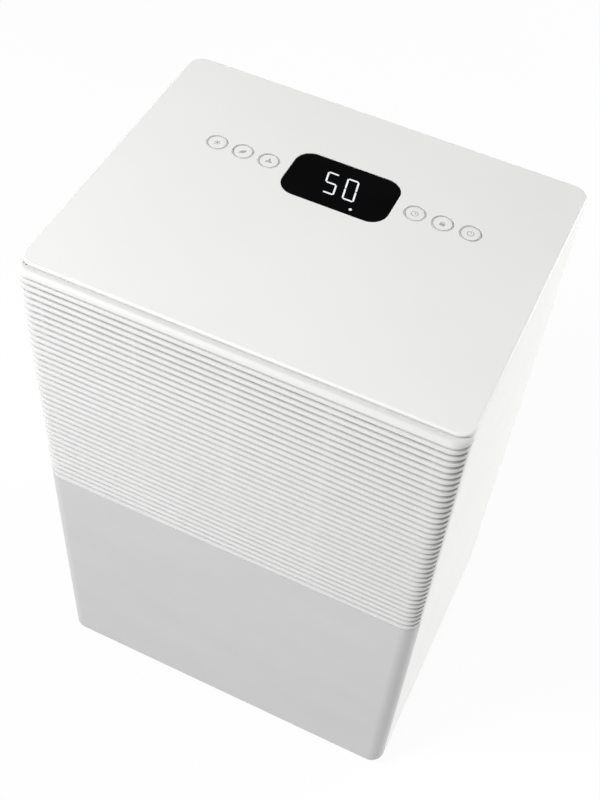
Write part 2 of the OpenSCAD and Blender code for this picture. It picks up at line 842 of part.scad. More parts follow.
module discharge_line() {
    z1 = z_comp + comp_h + 14;
    color(copper) bent_bar([[comp_x, comp_y, z_comp + comp_h], [comp_x, comp_y, z1],
        [discharge_x, discharge_y, z1], [discharge_x, discharge_y, run_high],
        [discharge_x, cond_y, run_high], [coil_end, cond_y, run_high]], line_r);
}

module capillary_tube() {
    x = coil_end + 4;
    y = (evap_y + cond_y) / 2;
    color(copper) bent_bar([[coil_end, cond_y, run_low], [x, cond_y, run_low], [x, y, run_low],
        [x, y, run_high], [x, evap_y, run_high], [coil_end, evap_y, run_high]], 1.5);
}

module run_capacitor() {
    color("lightgray") {
        translate([cap_x, cap_y, z_bay]) cylinder(r = 17, h = 70);
        difference() {
            translate([cap_x, cap_y, z_bay]) cylinder(r = 20, h = 12);
            translate([cap_x, cap_y, z_bay - eps]) cylinder(r = 16.5, h = 14);
        }
        for (s = [-1, 1]) block([cap_x + s * 6 - 1, cap_y - 3, z_bay + 69], [cap_x + s * 6 + 1, cap_y + 3, z_bay + 80]);
    }
}

module drain_spout() {
    y0 = y_back - spout_depth;
    color(dark) difference() {
        union() {
            difference() {
                y_rod(spout_cup_r - 0.3, spout_x, spout_z, y0, y_back);
                y_rod(spout_cup_r - 2.3, spout_x, spout_z, y0 + 2, y_back + eps);
            }
            y_rod(spigot_r, spout_x, spout_z, y0 - 10, y0 + 2 + spigot_len);
        }
        y_rod(spigot_r - spigot_t, spout_x, spout_z, y0 - 10 - eps, y_back);
    }
}

hose_y = tray_y + tray_d - 14;

module drain_hose() {
    x = spout_x;
    z1 = z_deck - 16;
    y1 = y_part + wall + 20;
    color("whitesmoke") bent_bar([[x, hose_y, z_deck - 8], [x, hose_y, z1], [x, y1, z1],
        [x, y1, spout_z], [x, y_back - spout_depth - 10, spout_z]], spigot_r - 1);
}

module drain_plug() {
    y1 = y_back - spout_depth + 2 + spigot_len;
    color("black") {
        y_rod(spigot_r - spigot_t - run_gap, spout_x, spout_z, y1 - plug_len, y1 + 0.4);
        y_rod(spigot_r - 0.8, spout_x, spout_z, y1 + 0.3, y1 + 2.3);
        block([spout_x - 1, y1 + 2, spout_z - 5], [spout_x + 1, y_back - 0.2, spout_z + 5]);
    }
}

module cord_gland() {
    color("black") difference() {
        union() {
            y_rod(7.8, gland_x, gland_z, y_inner_back - 0.2, y_back - 0.1);
            y_rod(11, gland_x, gland_z, y_inner_back - 3, y_inner_back);
            y_rod(7, gland_x, gland_z, y_back - gland_len, y_inner_back - 2);
        }
        y_rod(gland_r, gland_x, gland_z, y_back - gland_len - eps, y_back + eps);
    }
}

// ---------- tank ----------

module tank_body() {
    color([0.8, 0.88, 0.92]) difference() {
        translate([0, tank_mid_y, z_tank]) linear_extrude(tank_h) round_rect(tank_w, tank_d, tank_r);
        translate([0, tank_mid_y, z_tank + tank_t]) linear_extrude(tank_h)
            round_rect(tank_w - 2 * tank_t, tank_d - 2 * tank_t, tank_r - tank_t);
    }
}

module tank_lid() {
    rim = 4;
    color(white) difference() {
        union() {
            translate([0, tank_mid_y, z_rim]) linear_extrude(lid_t) round_rect(tank_w, tank_d, tank_r);
            translate([0, tank_mid_y, z_rim - rim]) linear_extrude(rim + 1) difference() {
                round_rect(tank_w - 2 * tank_t - slide_gap, tank_d - 2 * tank_t - slide_gap, tank_r - tank_t);
                round_rect(tank_w - 2 * tank_t - 5, tank_d - 2 * tank_t - 5, tank_r - tank_t - 2);
            }
            for (s = [-1, 1])
                block([float_x + s * float_gap - ear_t / 2, float_y - 6, float_z - 6],
                    [float_x + s * float_gap + ear_t / 2, float_y + 6, z_rim + 1]);
        }
        translate([0, tray_mid_y(), z_rim - rim]) cylinder(r = funnel_r, h = 10);
        block([-55, y_tank + 8, z_rim - eps], [55, y_tank + 34, z_rim + lid_t + eps]);
        x_rod(float_pin_r + run_gap, float_y, float_z, float_x - float_gap - ear_t, float_x + float_gap + ear_t);
    }
}

module tank_float() {
    reach = 62;
    color("white") {
        x_rod(float_pin_r, float_y, float_z, float_x - float_gap - 3, float_x + float_gap + 3);
        x_rod(4, float_y, float_z, float_x - 5, float_x + 5);
        block([float_x - 3, float_y - 40, float_z - 24], [float_x + 3, float_y + 2, float_z - 6]);
        block([float_x - 3, float_y - 8, float_z - 7], [float_x + 3, float_y + 2, float_z - 1.5]);
        difference() {
            block([float_x - 18, float_y - reach, float_z - 40], [float_x + 18, float_y - 30, float_z - 20]);
            block([float_x - 15, float_y - reach + 3, float_z - 41], [float_x + 15, float_y - 33, float_z - 23]);
        }
    }
}

module tank_switch() {
    color("dimgray") {
        block([-148, y_part - 3, z_rim + 12], [-132, y_part, z_rim + 26]);
        block([-145, y_part - 10, z_rim + 16], [-135, y_part - 3, z_rim + 22]);
    }
}

// ---------- castors ----------

module castor_fork(i) {
    p = castor_pts[i];
    arm = wheel_t / 2 + fork_gap;
    color(dark) difference() {
        union() {
            translate([p.x, p.y, z_fork]) cylinder(r = stem_r, h = fork_plate_t + stem_len - 1);
            translate([p.x, p.y, z_fork]) cylinder(r = 10, h = fork_plate_t);
            block([p.x - arm - fork_t, p.y, z_fork], [p.x + arm + fork_t, p.y + castor_trail + 5, z_fork + fork_plate_t]);
            for (s = [-1, 1]) {
                block([p.x + s * (arm + fork_t / 2) - fork_t / 2, p.y + castor_trail - 5, wheel_r],
                    [p.x + s * (arm + fork_t / 2) + fork_t / 2, p.y + castor_trail + 5, z_fork + 1]);
                x_rod(5, p.y + castor_trail, wheel_r, p.x + s * (arm + fork_t / 2) - fork_t / 2,
                    p.x + s * (arm + fork_t / 2) + fork_t / 2);
            }
        }
        x_rod(axle_r, p.y + castor_trail, wheel_r, p.x - 20, p.x + 20);
    }
}

module castor_axle(i) {
    p = castor_pts[i];
    half = wheel_t / 2 + fork_gap + fork_t;
    color(steel) {
        x_rod(axle_r, p.y + castor_trail, wheel_r, p.x - half, p.x + half + 0.2);
        x_rod(axle_r + 1.2, p.y + castor_trail, wheel_r, p.x + half, p.x + half + 1);
    }
}

module castor_wheel(i) {
    p = castor_pts[i];
    x0 = p.x - wheel_t / 2;
    color("black") difference() {
        union() {
            x_rod(wheel_r, p.y + castor_trail, wheel_r, x0 + 1, x0 + wheel_t - 1);
            x_rod(wheel_r - 2, p.y + castor_trail, wheel_r, x0, x0 + wheel_t);
        }
        x_rod(axle_r + run_gap, p.y + castor_trail, wheel_r, x0 - eps, x0 + wheel_t + eps);
    }
}

module castor_fork_fl() { castor_fork(0); }
module castor_fork_fr() { castor_fork(1); }
module castor_fork_rl() { castor_fork(2); }
module castor_fork_rr() { castor_fork(3); }
module castor_axle_fl() { castor_axle(0); }
module castor_axle_fr() { castor_axle(1); }
module castor_axle_rl() { castor_axle(2); }
module castor_axle_rr() { castor_axle(3); }
module castor_wheel_fl() { castor_wheel(0); }
module castor_wheel_fr() { castor_wheel(1); }
module castor_wheel_rl() { castor_wheel(2); }
module castor_wheel_rr() { castor_wheel(3); }

base_pan();
deck();
bay_partition();
rear_shell();
top_cover();
front_grille();
display_lens();
lit_digits();
display_board();
key_switches();
key_fan_speed();
key_mode();
key_swing();
key_timer();
key_lock();
key_power();
electronics_box();
power_board();
filter_frame();
filter_mesh();
evaporator();
condenser();
drip_tray();
compressor();
compressor_grommets();
compressor_bolts();
suction_line();
discharge_line();
capillary_tube();
run_capacitor();
fan_shroud();
fan_motor();
motor_bracket();
motor_shaft();
fan_wheel();
outlet_grille();
rear_grip_cup();
drain_spout();
drain_hose();
drain_plug();
cord_gland();
tank_body();
tank_front();
tank_lid();
tank_float();
tank_switch();
cover_screws();
castor_fork_fl();
castor_axle_fl();
castor_wheel_fl();
castor_fork_fr();
castor_axle_fr();
castor_wheel_fr();
castor_fork_rl();
castor_axle_rl();
castor_wheel_rl();
castor_fork_rr();
castor_axle_rr();
castor_wheel_rr();
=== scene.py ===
"""Finished looks of an upright dehumidifier on castors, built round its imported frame.

Everything is in metres. Z is up, -Y is the front and the origin is on the floor under the cabinet.
"""

import json
import math

import bmesh
import bpy
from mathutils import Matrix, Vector

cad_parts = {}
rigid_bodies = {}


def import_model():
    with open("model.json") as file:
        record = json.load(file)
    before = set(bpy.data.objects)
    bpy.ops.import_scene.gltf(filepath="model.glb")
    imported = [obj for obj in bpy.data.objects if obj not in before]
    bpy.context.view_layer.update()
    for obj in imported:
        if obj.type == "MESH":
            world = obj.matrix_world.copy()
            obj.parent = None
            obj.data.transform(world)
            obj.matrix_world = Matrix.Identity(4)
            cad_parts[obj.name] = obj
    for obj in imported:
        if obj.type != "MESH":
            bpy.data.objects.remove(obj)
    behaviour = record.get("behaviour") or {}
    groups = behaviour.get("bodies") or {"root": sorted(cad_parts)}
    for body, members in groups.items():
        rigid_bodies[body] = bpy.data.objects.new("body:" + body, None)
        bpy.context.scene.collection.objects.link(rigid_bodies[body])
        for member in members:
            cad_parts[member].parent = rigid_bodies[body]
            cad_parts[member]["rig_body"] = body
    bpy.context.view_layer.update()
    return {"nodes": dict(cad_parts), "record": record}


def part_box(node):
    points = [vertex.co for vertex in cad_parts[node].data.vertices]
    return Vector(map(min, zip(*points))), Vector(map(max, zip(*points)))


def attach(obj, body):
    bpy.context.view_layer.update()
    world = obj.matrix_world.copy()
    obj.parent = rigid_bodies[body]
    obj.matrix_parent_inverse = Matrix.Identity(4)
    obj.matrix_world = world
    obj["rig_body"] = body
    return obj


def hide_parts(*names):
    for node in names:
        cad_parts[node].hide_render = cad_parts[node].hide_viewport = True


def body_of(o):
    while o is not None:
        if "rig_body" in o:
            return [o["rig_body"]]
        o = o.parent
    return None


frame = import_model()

bl_info = {
    "name": "Dehumidifier Maker",
    "version": (1, 0, 0),
    "blender": (4, 5, 0),
    "location": "3D View > Sidebar > Dehumidifier",
    "description": "Models the shells, grille, controls and finishes of a compressor dehumidifier",
    "category": "Add Mesh",
}

SHELL_LOW, SHELL_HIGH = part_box("rear_shell")
COVER_LOW, COVER_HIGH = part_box("top_cover")
GRILLE_LOW, GRILLE_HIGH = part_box("front_grille")
PANEL_LOW, PANEL_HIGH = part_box("tank_front")
LENS_LOW, LENS_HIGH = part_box("display_lens")
FILTER_LOW, FILTER_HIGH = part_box("filter_frame")
OUTLET_LOW, OUTLET_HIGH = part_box("outlet_grille")
GRIP_LOW, GRIP_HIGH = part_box("rear_grip_cup")
SPOUT_LOW, SPOUT_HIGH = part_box("drain_spout")
GLAND_LOW, GLAND_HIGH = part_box("cord_gland")

HALF_WIDTH = SHELL_HIGH[0]
FRONT = GRILLE_LOW[1]
BACK = SHELL_HIGH[1]
SEAM = GRILLE_HIGH[1]
KEYS = ("key_fan_speed", "key_mode", "key_swing", "key_timer", "key_lock", "key_power")
QUARTER = math.pi / 2
FULL = 2 * math.pi
NEAR = 1e-5   # two places closer than this are the same place
WELD = 1e-6   # corners closer than this are joined


def metres(name, default, description):
    """A length that the sidebar shows."""
    return bpy.props.FloatProperty(name=name, default=default, description=description,
                                   min=0.0, unit="LENGTH", precision=5)


def colour(name, default, description):
    """A colour that the sidebar shows."""
    return bpy.props.FloatVectorProperty(name=name, default=default, description=description,
                                         subtype="COLOR", size=3, min=0.0, max=1.0)


class CabinetSizes(bpy.types.PropertyGroup):
    """Sizes of the moulded shells."""

    corner_radius: metres("Corner radius", 0.013, "Radius of the cabinet's upright corners")
    shell_wall: metres("Shell wall", 0.0025, "Wall of the rear shell and of the top cover")
    front_wall: metres("Front wall", 0.003, "Wall of the grille and of the tank's front panel")
    edge_round: metres("Edge rounding", 0.0006, "Rounding of the moulded edges")
    cover_setback: metres("Cover setback", 0.008, "How far the cover sits behind the grille's face")
    cover_radius: metres("Cover radius", 0.012, "Radius of the cover's front corners")
    cover_edge: metres("Cover edge", 0.0022, "Rounding of the cover's upper edge")
    cover_plate: metres("Cover plate", 0.003, "Thickness of the cover's plate")
    cover_rim: metres("Cover rim", 0.010, "Height of the cover, rim and plate together")
    cover_gap: metres("Cover gap", 0.0012, "Gap between the cover and the grille")
    panel_round: metres("Panel rounding", 0.006, "Rounding of the front panel's lower edge")
    panel_flange: metres("Panel flange", 0.009, "Depth of the flange under the front panel")


class GrilleSizes(bpy.types.PropertyGroup):
    """Sizes of the intake grille."""

    pitch: metres("Slat pitch", 0.0068, "Height of a slat and a slot together")
    slot: metres("Slot height", 0.0033, "Height of a slot")
    land: metres("Plain band", 0.004, "Plain band below the first slot")
    roll: metres("Roll", 0.008, "Radius of the grille's rounded upper edge")
    post: metres("End post", 0.004, "Width of the plain post beside each seam")
    slat_round: metres("Slat rounding", 0.0008, "Rounding of a slat's edges")
    ribs: bpy.props.IntProperty(name="Ribs", default=5, min=2, max=9,
                                description="Number of upright ribs behind the slats")


class ControlSizes(bpy.types.PropertyGroup):
    """Sizes of the display and the keys."""

    lens_radius: metres("Lens radius", 0.014, "Corner radius of the display lens")
    lens_gap: metres("Lens gap", 0.0003, "Gap round the display lens")
    key_gap: metres("Key gap", 0.00035, "Gap round a key")
    ring_width: metres("Ring width", 0.0007, "Width of the printed ring on a key")
    print_height: metres("Print height", 0.00012, "How far the cap's face lies below the top of a key")
    key_rim: metres("Key rim", 0.0016, "Width of the raised rim round a key's face")
    key_dish: metres("Key dish", 0.00022, "How far a key's face lies below its rim")
    ink: metres("Ink", 0.0001, "Height of a symbol's strokes")


class Finishes(bpy.types.PropertyGroup):
    """Colours of the main plastics."""

    white: colour("White plastic", (0.84, 0.84, 0.83), "Shells, cover and grille")
    # Painted shade: the grille is the shell's white plastic, darkened to stand in for the shade on the
    # front face.
    grille: colour("Grille plastic", (0.72, 0.72, 0.715), "Slats, posts and shoulder of the grille")
    grey: colour("Grey panel", (0.565, 0.565, 0.565), "The tank's front panel")
    smoke: colour("Tank plastic", (0.55, 0.57, 0.60), "The see-through tank")
    print_grey: colour("Print", (0.42, 0.42, 0.42), "Rings and symbols on the keys")


# ---------- modelling helpers ----------

def deselect():
    """Leaves nothing selected."""
    bpy.ops.object.select_all(action="DESELECT")


def work_on(piece):
    """Makes one piece the only selected and active one."""
    deselect()
    piece.select_set(True)
    bpy.context.view_layer.objects.active = piece


def named(name):
    """Names the piece just added and settles its transforms."""
    piece = bpy.context.object
    piece.name = name
    piece.data.name = name
    bpy.ops.object.transform_apply(location=True, rotation=True, scale=True)
    return piece


def cuboid(name, low, high):
    """A cuboid between two corners."""
    deselect()
    low, high = Vector(low), Vector(high)
    bpy.ops.mesh.primitive_cube_add(size=1, location=(low + high) / 2)
    bpy.context.object.scale = high - low
    return named(name)


def rod(name, start, end, radius, sides=64):
    """A cylinder from one point to another."""
    deselect()
    start, end = Vector(start), Vector(end)
    axis = end - start
    turn = axis.to_track_quat("Z", "Y").to_euler()
    bpy.ops.mesh.primitive_cylinder_add(vertices=sides, radius=radius, depth=axis.length,
                                        location=(start + end) / 2, rotation=turn)
    return named(name)


def edit(piece, mode="FACE"):
    """Opens a piece in edit mode with nothing selected."""
    work_on(piece)
    bpy.ops.object.mode_set(mode="EDIT")
    bpy.ops.mesh.select_mode(type=mode)
    bpy.ops.mesh.select_all(action="DESELECT")
    return bmesh.from_edit_mesh(piece.data)


def close():
    """Leaves edit mode."""
    bpy.ops.object.mode_set(mode="OBJECT")


def pick_edges(piece, test):
    """Selects the edges whose two ends pass a test."""
    mesh = edit(piece, "EDGE")
    for edge in mesh.edges:
        edge.select_set(bool(test(edge.verts[0].co, edge.verts[1].co)))
    bmesh.update_edit_mesh(piece.data)


def pick_faces(piece, test):
    """Selects the faces whose middle and normal pass a test."""
    mesh = edit(piece, "FACE")
    for face in mesh.faces:
        face.select_set(bool(test(face.calc_center_median(), face.normal)))
    bmesh.update_edit_mesh(piece.data)


def upright(a, b):
    """True if an edge between two points is upright."""
    return abs(a.x - b.x) + abs(a.y - b.y) < WELD


def round_edges(piece, test, radius, segments=6):
    """Rounds the edges that pass a test."""
    pick_edges(piece, test)
    bpy.ops.mesh.bevel(offset=radius, segments=segments, affect="EDGES")
    close()


def use(piece, kind, **settings):
    """Adds a modifier to a piece and applies it."""
    work_on(piece)
    modifier = piece.modifiers.new(kind, kind)
    for name, value in settings.items():
        setattr(modifier, name, value)
    bpy.ops.object.modifier_apply(modifier=modifier.name)


def score(piece, cutters, margin=0.004):
    """Splits a piece's faces round each cutter, so that no face gets more than one hole."""
    edit(piece, "FACE")
    for axis in range(3):
        places = set()
        for cutter in cutters:
            values = [vert.co[axis] for vert in cutter.data.vertices]
            places.update((round(min(values) - margin, 5), round(max(values) + margin, 5)))
        normal = tuple(float(axis == number) for number in range(3))
        for place in sorted(places):
            bpy.ops.mesh.select_all(action="SELECT")
            bpy.ops.mesh.bisect(plane_co=tuple(place * part for part in normal), plane_no=normal)
    close()


def cut(piece, *cutters):
    """Takes the cutters out of a piece."""
    score(piece, cutters)
    for cutter in cutters:
        use(piece, "BOOLEAN", operation="DIFFERENCE", object=cutter, solver="EXACT")
        bpy.data.objects.remove(cutter)


def join(name, *parts):
    """Joins several parts into one piece."""
    deselect()
    for part in parts:
        part.select_set(True)
    bpy.context.view_layer.objects.active = parts[0]
    bpy.ops.object.join()
    parts[0].name = name
    parts[0].data.name = name
    return parts[0]


def smooth(piece, angle):
    """Shades a piece smoothly over the edges flatter than an angle in degrees."""
    work_on(piece)
    bpy.ops.object.shade_smooth_by_angle(angle=math.radians(angle))


def soften(piece, width, segments=2, angle=35):
    """Breaks a piece's sharp edges and shades it smoothly."""
    if width > 0:
        use(piece, "BEVEL", width=width, segments=segments, limit_method="ANGLE",
            angle_limit=math.radians(angle), use_clamp_overlap=True, miter_outer="MITER_ARC")
    smooth(piece, angle + 10)
    use(piece, "WEIGHTED_NORMAL", keep_sharp=True, weight=60)


def hand_over(piece, slot, *nodes, look=None):
    """Gives a piece its finish, and puts it on the body of the nodes that it stands for."""
    piece.data.materials.clear()
    piece.data.materials.append(finish(look or slot))
    for polygon in piece.data.polygons:
        polygon.material_index = 0
    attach(piece, body_of(frame["nodes"][nodes[0]])[0])
    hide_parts(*nodes)


def sweep(piece, steps, angle, centre):
    """Turns the whole of a flat profile about an upright axis."""
    edit(piece, "FACE")
    bpy.ops.mesh.select_all(action="SELECT")
    bpy.ops.mesh.spin(steps=steps, angle=angle, center=centre, axis=(0, 0, 1))


def weld(distance=WELD):
    """Joins the corners of the open piece that lie on each other, and turns its faces outwards."""
    bpy.ops.mesh.select_all(action="SELECT")
    bpy.ops.mesh.remove_doubles(threshold=distance)
    bpy.ops.mesh.normals_make_consistent(inside=False)


def wrap_front(profile, centre_z):
    """Carries a profile that stands at the left seam round both front corners to the right seam."""
    radius = bpy.context.scene.cabinet_sizes.corner_radius
    steps = 12
    left = (-HALF_WIDTH + radius, SEAM, centre_z)
    right = (HALF_WIDTH - radius, SEAM, centre_z)
    sweep(profile, steps, -QUARTER, left)
    span = right[0] - left[0]
    bpy.ops.mesh.extrude_region_move(TRANSFORM_OT_translate={"value": (span, 0, 0)})
    bpy.ops.mesh.spin(steps=steps, angle=-QUARTER, center=right, axis=(0, 0, 1))
    weld()
    close()


def wall_profile(name, low_z, high_z, depth):
    """A flat upright profile at the left seam, from the cabinet's face inwards."""
    deselect()
    middle = (-HALF_WIDTH + depth / 2, SEAM, (low_z + high_z) / 2)
    bpy.ops.mesh.primitive_plane_add(size=1, location=middle, rotation=(QUARTER, 0, 0))
    bpy.context.object.scale = (depth, high_z - low_z, 1)
    return named(name)


def round_corners(profile, test, radius, segments=3):
    """Rounds the corners of a flat profile that pass a test."""
    mesh = edit(profile, "VERT")
    for vert in mesh.verts:
        vert.select_set(bool(test(vert.co)))
    bmesh.update_edit_mesh(profile.data)
    bpy.ops.mesh.bevel(offset=radius, segments=segments, affect="VERTICES")
    close()


# ---------- finishes ----------

class Signal:
    """One output of a finish's nodes. Shader maths on it reads like plain maths."""

    def __init__(self, maker, socket):
        self.maker = maker
        self.socket = socket

    def maths(self, operation, first, second):
        return self.maker.add("ShaderNodeMath", {"operation": operation}, {0: first, 1: second})

    def __mul__(self, other):
        return self.maths("MULTIPLY", self, other)

    def __gt__(self, other):
        return self.maths("GREATER_THAN", self, other)

    def larger(self, other):
        return self.maths("MAXIMUM", self, other)


class FinishMaker:
    """Builds one finish from nodes round its shader."""

    def __init__(self, name, **constants):
        self.material = bpy.data.materials.new(name)
        self.material.use_nodes = True
        self.tree = self.material.node_tree
        self.shader = self.tree.nodes["Principled BSDF"]
        for socket, value in constants.items():
            self.shader.inputs[socket.replace("_", " ")].default_value = value

    def add(self, kind, settings=None, inputs=None, output=0):
        """Adds a node and returns one of its outputs."""
        node = self.tree.nodes.new(kind)
        for name, value in (settings or {}).items():
            setattr(node, name, value)
        for name, value in (inputs or {}).items():
            if isinstance(value, Signal):
                self.tree.links.new(value.socket, node.inputs[name])
            else:
                node.inputs[name].default_value = value
        return Signal(self, node.outputs[output])

    def drive(self, socket, signal):
        """Lets a signal set one of the shader's sockets."""
        self.tree.links.new(signal.socket, self.shader.inputs[socket])

    def place(self):
        """The object's own coordinates."""
        return self.add("ShaderNodeTexCoord", output=3)

    def noise(self, scale, detail=3.0, stretch=(1, 1, 1)):
        """Cloudy variation, about one patch in 1/scale metres."""
        where = self.add("ShaderNodeMapping", {}, {"Vector": self.place(), "Scale": stretch})
        return self.add("ShaderNodeTexNoise", {}, {"Vector": where, "Scale": scale, "Detail": detail})

    def between(self, signal, low, high):
        """A grey signal laid between two values."""
        return self.add("ShaderNodeMapRange", {}, {"Value": signal, "From Min": 0.3, "From Max": 0.7,
                                                   "To Min": low, "To Max": high})

    def blend(self, signal, first, second):
        """A colour between two, as a signal says."""
        node = self.tree.nodes.new("ShaderNodeMix")
        node.data_type = "RGBA"
        self.tree.links.new(signal.socket, node.inputs[0])
        for index, value in ((6, first), (7, second)):
            if isinstance(value, Signal):
                self.tree.links.new(value.socket, node.inputs[index])
            else:
                node.inputs[index].default_value = (*value, 1.0)
        return Signal(self, node.outputs[2])

    def bump(self, height, distance, strength=1.0):
        """Relief on the surface, with its depth in metres."""
        self.drive("Normal", self.add("ShaderNodeBump", {}, {
            "Height": height, "Distance": distance, "Strength": strength}))


def shade(tone, factor):
    """A colour made lighter or darker."""
    return tuple(min(1.0, channel * factor) for channel in tone)


def moulded(name, tone, roughness, grain=1400.0, relief=0.00003, contrast=0.03, **constants):
    """Injection-moulded plastic: fine spark-eroded grain, slight flow marks and rubbed patches."""
    maker = FinishMaker(name, **constants)
    flow = maker.noise(9.0, 2.0, (1, 1, 2.5))
    speck = maker.noise(grain, 2.0)
    rubbed = maker.noise(38.0, 4.0)
    base = maker.blend(maker.between(flow, 0.0, 1.0), shade(tone, 1 - contrast),
                       shade(tone, 1 + contrast))
    spotted = maker.blend(maker.between(speck, 0.0, 0.5), base, shade(tone, 1 - 1.5 * contrast))
    maker.drive("Base Color", spotted)
    maker.drive("Roughness", maker.between(rubbed, roughness - 0.05, roughness + 0.06))
    maker.bump(speck, relief)
    return maker.material


def white_plastic():
    """Satin white shell plastic."""
    return moulded("white_plastic", bpy.context.scene.finishes.white, 0.46, contrast=0.012)


def grille_white_painted_shade():
    """The grille's white plastic, darker than the shell's: painted shade standing in for the shade
    that falls on the cabinet's front.
    """
    return moulded("grille_white_painted_shade", bpy.context.scene.finishes.grille, 0.48, contrast=0.012,
                   Specular_IOR_Level=0.35)


def filter_white():
    """White plastic of the filter frame, with a little dust on it."""
    return moulded("filter_white", (0.70, 0.70, 0.69), 0.55, contrast=0.04, relief=0.00005)


def white_top():
    """The top cover's white plastic, a little glossier than the shell's."""
    return moulded("white_top", bpy.context.scene.finishes.white, 0.38, contrast=0.010,
                   relief=0.00002)


def panel_grey():
    """Light grey plastic of the tank's front."""
    return moulded("panel_grey", bpy.context.scene.finishes.grey, 0.44, contrast=0.02,
                   Specular_IOR_Level=0.35)


def gloss_black():
    """Glossy black lens with faint wiping marks."""
    maker = FinishMaker("gloss_black", Specular_IOR_Level=0.08)
    smear = maker.noise(55.0, 5.0, (1, 4, 1))
    tint = maker.noise(14.0, 2.0)
    maker.drive("Base Color", maker.blend(maker.between(tint, 0.0, 1.0), (0.0018, 0.0018, 0.002),
                                          (0.0035, 0.0035, 0.004)))
    maker.drive("Roughness", maker.between(smear, 0.05, 0.16))
    return maker.material


def lit_white():
    """White light of the digits, a little uneven as behind a diffuser."""
    maker = FinishMaker("lit_white", Base_Color=(0.3, 0.3, 0.3, 1), Roughness=0.5,
                        Emission_Strength=0.8)
    uneven = maker.noise(420.0, 2.0)
    maker.drive("Emission Color", maker.blend(maker.between(uneven, 0.0, 1.0), (0.66, 0.68, 0.72),
                                              (0.92, 0.94, 1.0)))
    return maker.material


def black_plastic():
    """Matt black inner mouldings."""
    return moulded("black_plastic", (0.022, 0.022, 0.024), 0.55, contrast=0.12, relief=0.00006)


def grey_plastic():
    """Mid grey mouldings."""
    return moulded("grey_plastic", (0.34, 0.35, 0.36), 0.5, contrast=0.05, relief=0.00005)


def fan_plastic():
    """Grey fan plastic with flow lines from its gates."""
    return moulded("fan_plastic", (0.13, 0.135, 0.14), 0.4, contrast=0.09, relief=0.00003)


def switch_black():
    """Small black switch housings."""
    return moulded("switch_black", (0.03, 0.03, 0.032), 0.36, contrast=0.1, relief=0.00002)


def print_grey():
    """Grey print on the keys."""
    return moulded("print_grey", bpy.context.scene.finishes.print_grey, 0.55, contrast=0.06,
                   relief=0.00001)


def rubber_black():
    """Black rubber with a dusty bloom."""
    return moulded("rubber_black", (0.028, 0.028, 0.028), 0.78, grain=900.0, relief=0.00008,
                   contrast=0.16)


def wheel_rubber():
    """Grey-black tread, scuffed round the rim."""
    maker = FinishMaker("wheel_rubber", Specular_IOR_Level=0.35)
    scuff = maker.noise(260.0, 6.0, (3, 1, 1))
    dust = maker.noise(60.0, 3.0)
    maker.drive("Base Color", maker.blend(maker.between(scuff, 0.0, 1.0), (0.05, 0.05, 0.052),
                                          (0.11, 0.11, 0.108)))
    maker.drive("Roughness", maker.between(dust, 0.6, 0.85))
    maker.bump(scuff, 0.00012)
    return maker.material


def black_paint():
    """Black stove enamel with orange peel."""
    maker = FinishMaker("black_paint", Coat_Roughness=0.2)
    peel = maker.noise(330.0, 2.0)
    dust = maker.noise(24.0, 5.0)
    maker.drive("Base Color", maker.blend(maker.between(dust, 0.0, 1.0), (0.012, 0.012, 0.013),
                                          (0.034, 0.033, 0.031)))
    maker.drive("Roughness", maker.between(dust, 0.24, 0.46))
    maker.drive("Coat Weight", maker.between(dust, 0.5, 0.1))
    maker.bump(peel, 0.00007)
    return maker.material


def zinc_steel():
    """Zinc-plated steel with spangle."""
    maker = FinishMaker("zinc_steel", Metallic=1.0)
    spangle = maker.add("ShaderNodeTexVoronoi", {}, {"Vector": maker.place(), "Scale": 240.0})
    streak = maker.noise(120.0, 4.0, (1, 6, 1))
    maker.drive("Base Color", maker.blend(spangle * 1.2, (0.55, 0.56, 0.57), (0.72, 0.72, 0.70)))
    maker.drive("Roughness", maker.between(streak, 0.26, 0.44))
    maker.bump(streak, 0.00001)
    return maker.material


def fin_aluminium():
    """Thin aluminium fins with rolled lines and a dull oxide bloom."""
    maker = FinishMaker("fin_aluminium", Metallic=1.0)
    rolled = maker.noise(500.0, 3.0, (1, 1, 12))
    bloom = maker.noise(30.0, 5.0)
    maker.drive("Base Color", maker.blend(maker.between(bloom, 0.0, 1.0), (0.66, 0.67, 0.68),
                                          (0.80, 0.80, 0.80)))
    maker.drive("Roughness", maker.between(bloom, 0.3, 0.5))
    maker.bump(rolled, 0.00002)
    return maker.material


def can_aluminium():
    """Drawn aluminium can with lines down its side."""
    maker = FinishMaker("can_aluminium", Metallic=1.0)
    drawn = maker.noise(700.0, 2.0, (1, 1, 0.03))
    maker.drive("Base Color", maker.blend(maker.between(drawn, 0.0, 1.0), (0.62, 0.62, 0.63),
                                          (0.78, 0.78, 0.79)))
    maker.drive("Roughness", maker.between(drawn, 0.24, 0.38))
    return maker.material


def copper():
    """Copper line, browned in patches."""
    maker = FinishMaker("copper", Metallic=1.0)
    tarnish = maker.noise(75.0, 6.0)
    maker.drive("Base Color", maker.blend(maker.between(tarnish, 0.0, 1.0), (0.80, 0.36, 0.20),
                                          (0.40, 0.17, 0.09)))
    maker.drive("Roughness", maker.between(tarnish, 0.2, 0.5))
    maker.bump(tarnish, 0.00002)
    return maker.material


def board_green():
    """Circuit board: tracks under green lacquer."""
    maker = FinishMaker("board_green", Coat_Weight=0.3)
    tracks = maker.add("ShaderNodeTexBrick", {}, {
        "Vector": maker.place(), "Scale": 90.0, "Mortar Size": 0.06,
        "Color1": (0.004, 0.06, 0.025, 1), "Color2": (0.006, 0.08, 0.03, 1),
        "Mortar": (0.03, 0.2, 0.08, 1)})
    relief = maker.noise(800.0, 2.0)
    maker.drive("Base Color", tracks)
    maker.drive("Roughness", maker.between(relief, 0.3, 0.42))
    maker.bump(relief, 0.00003)
    return maker.material


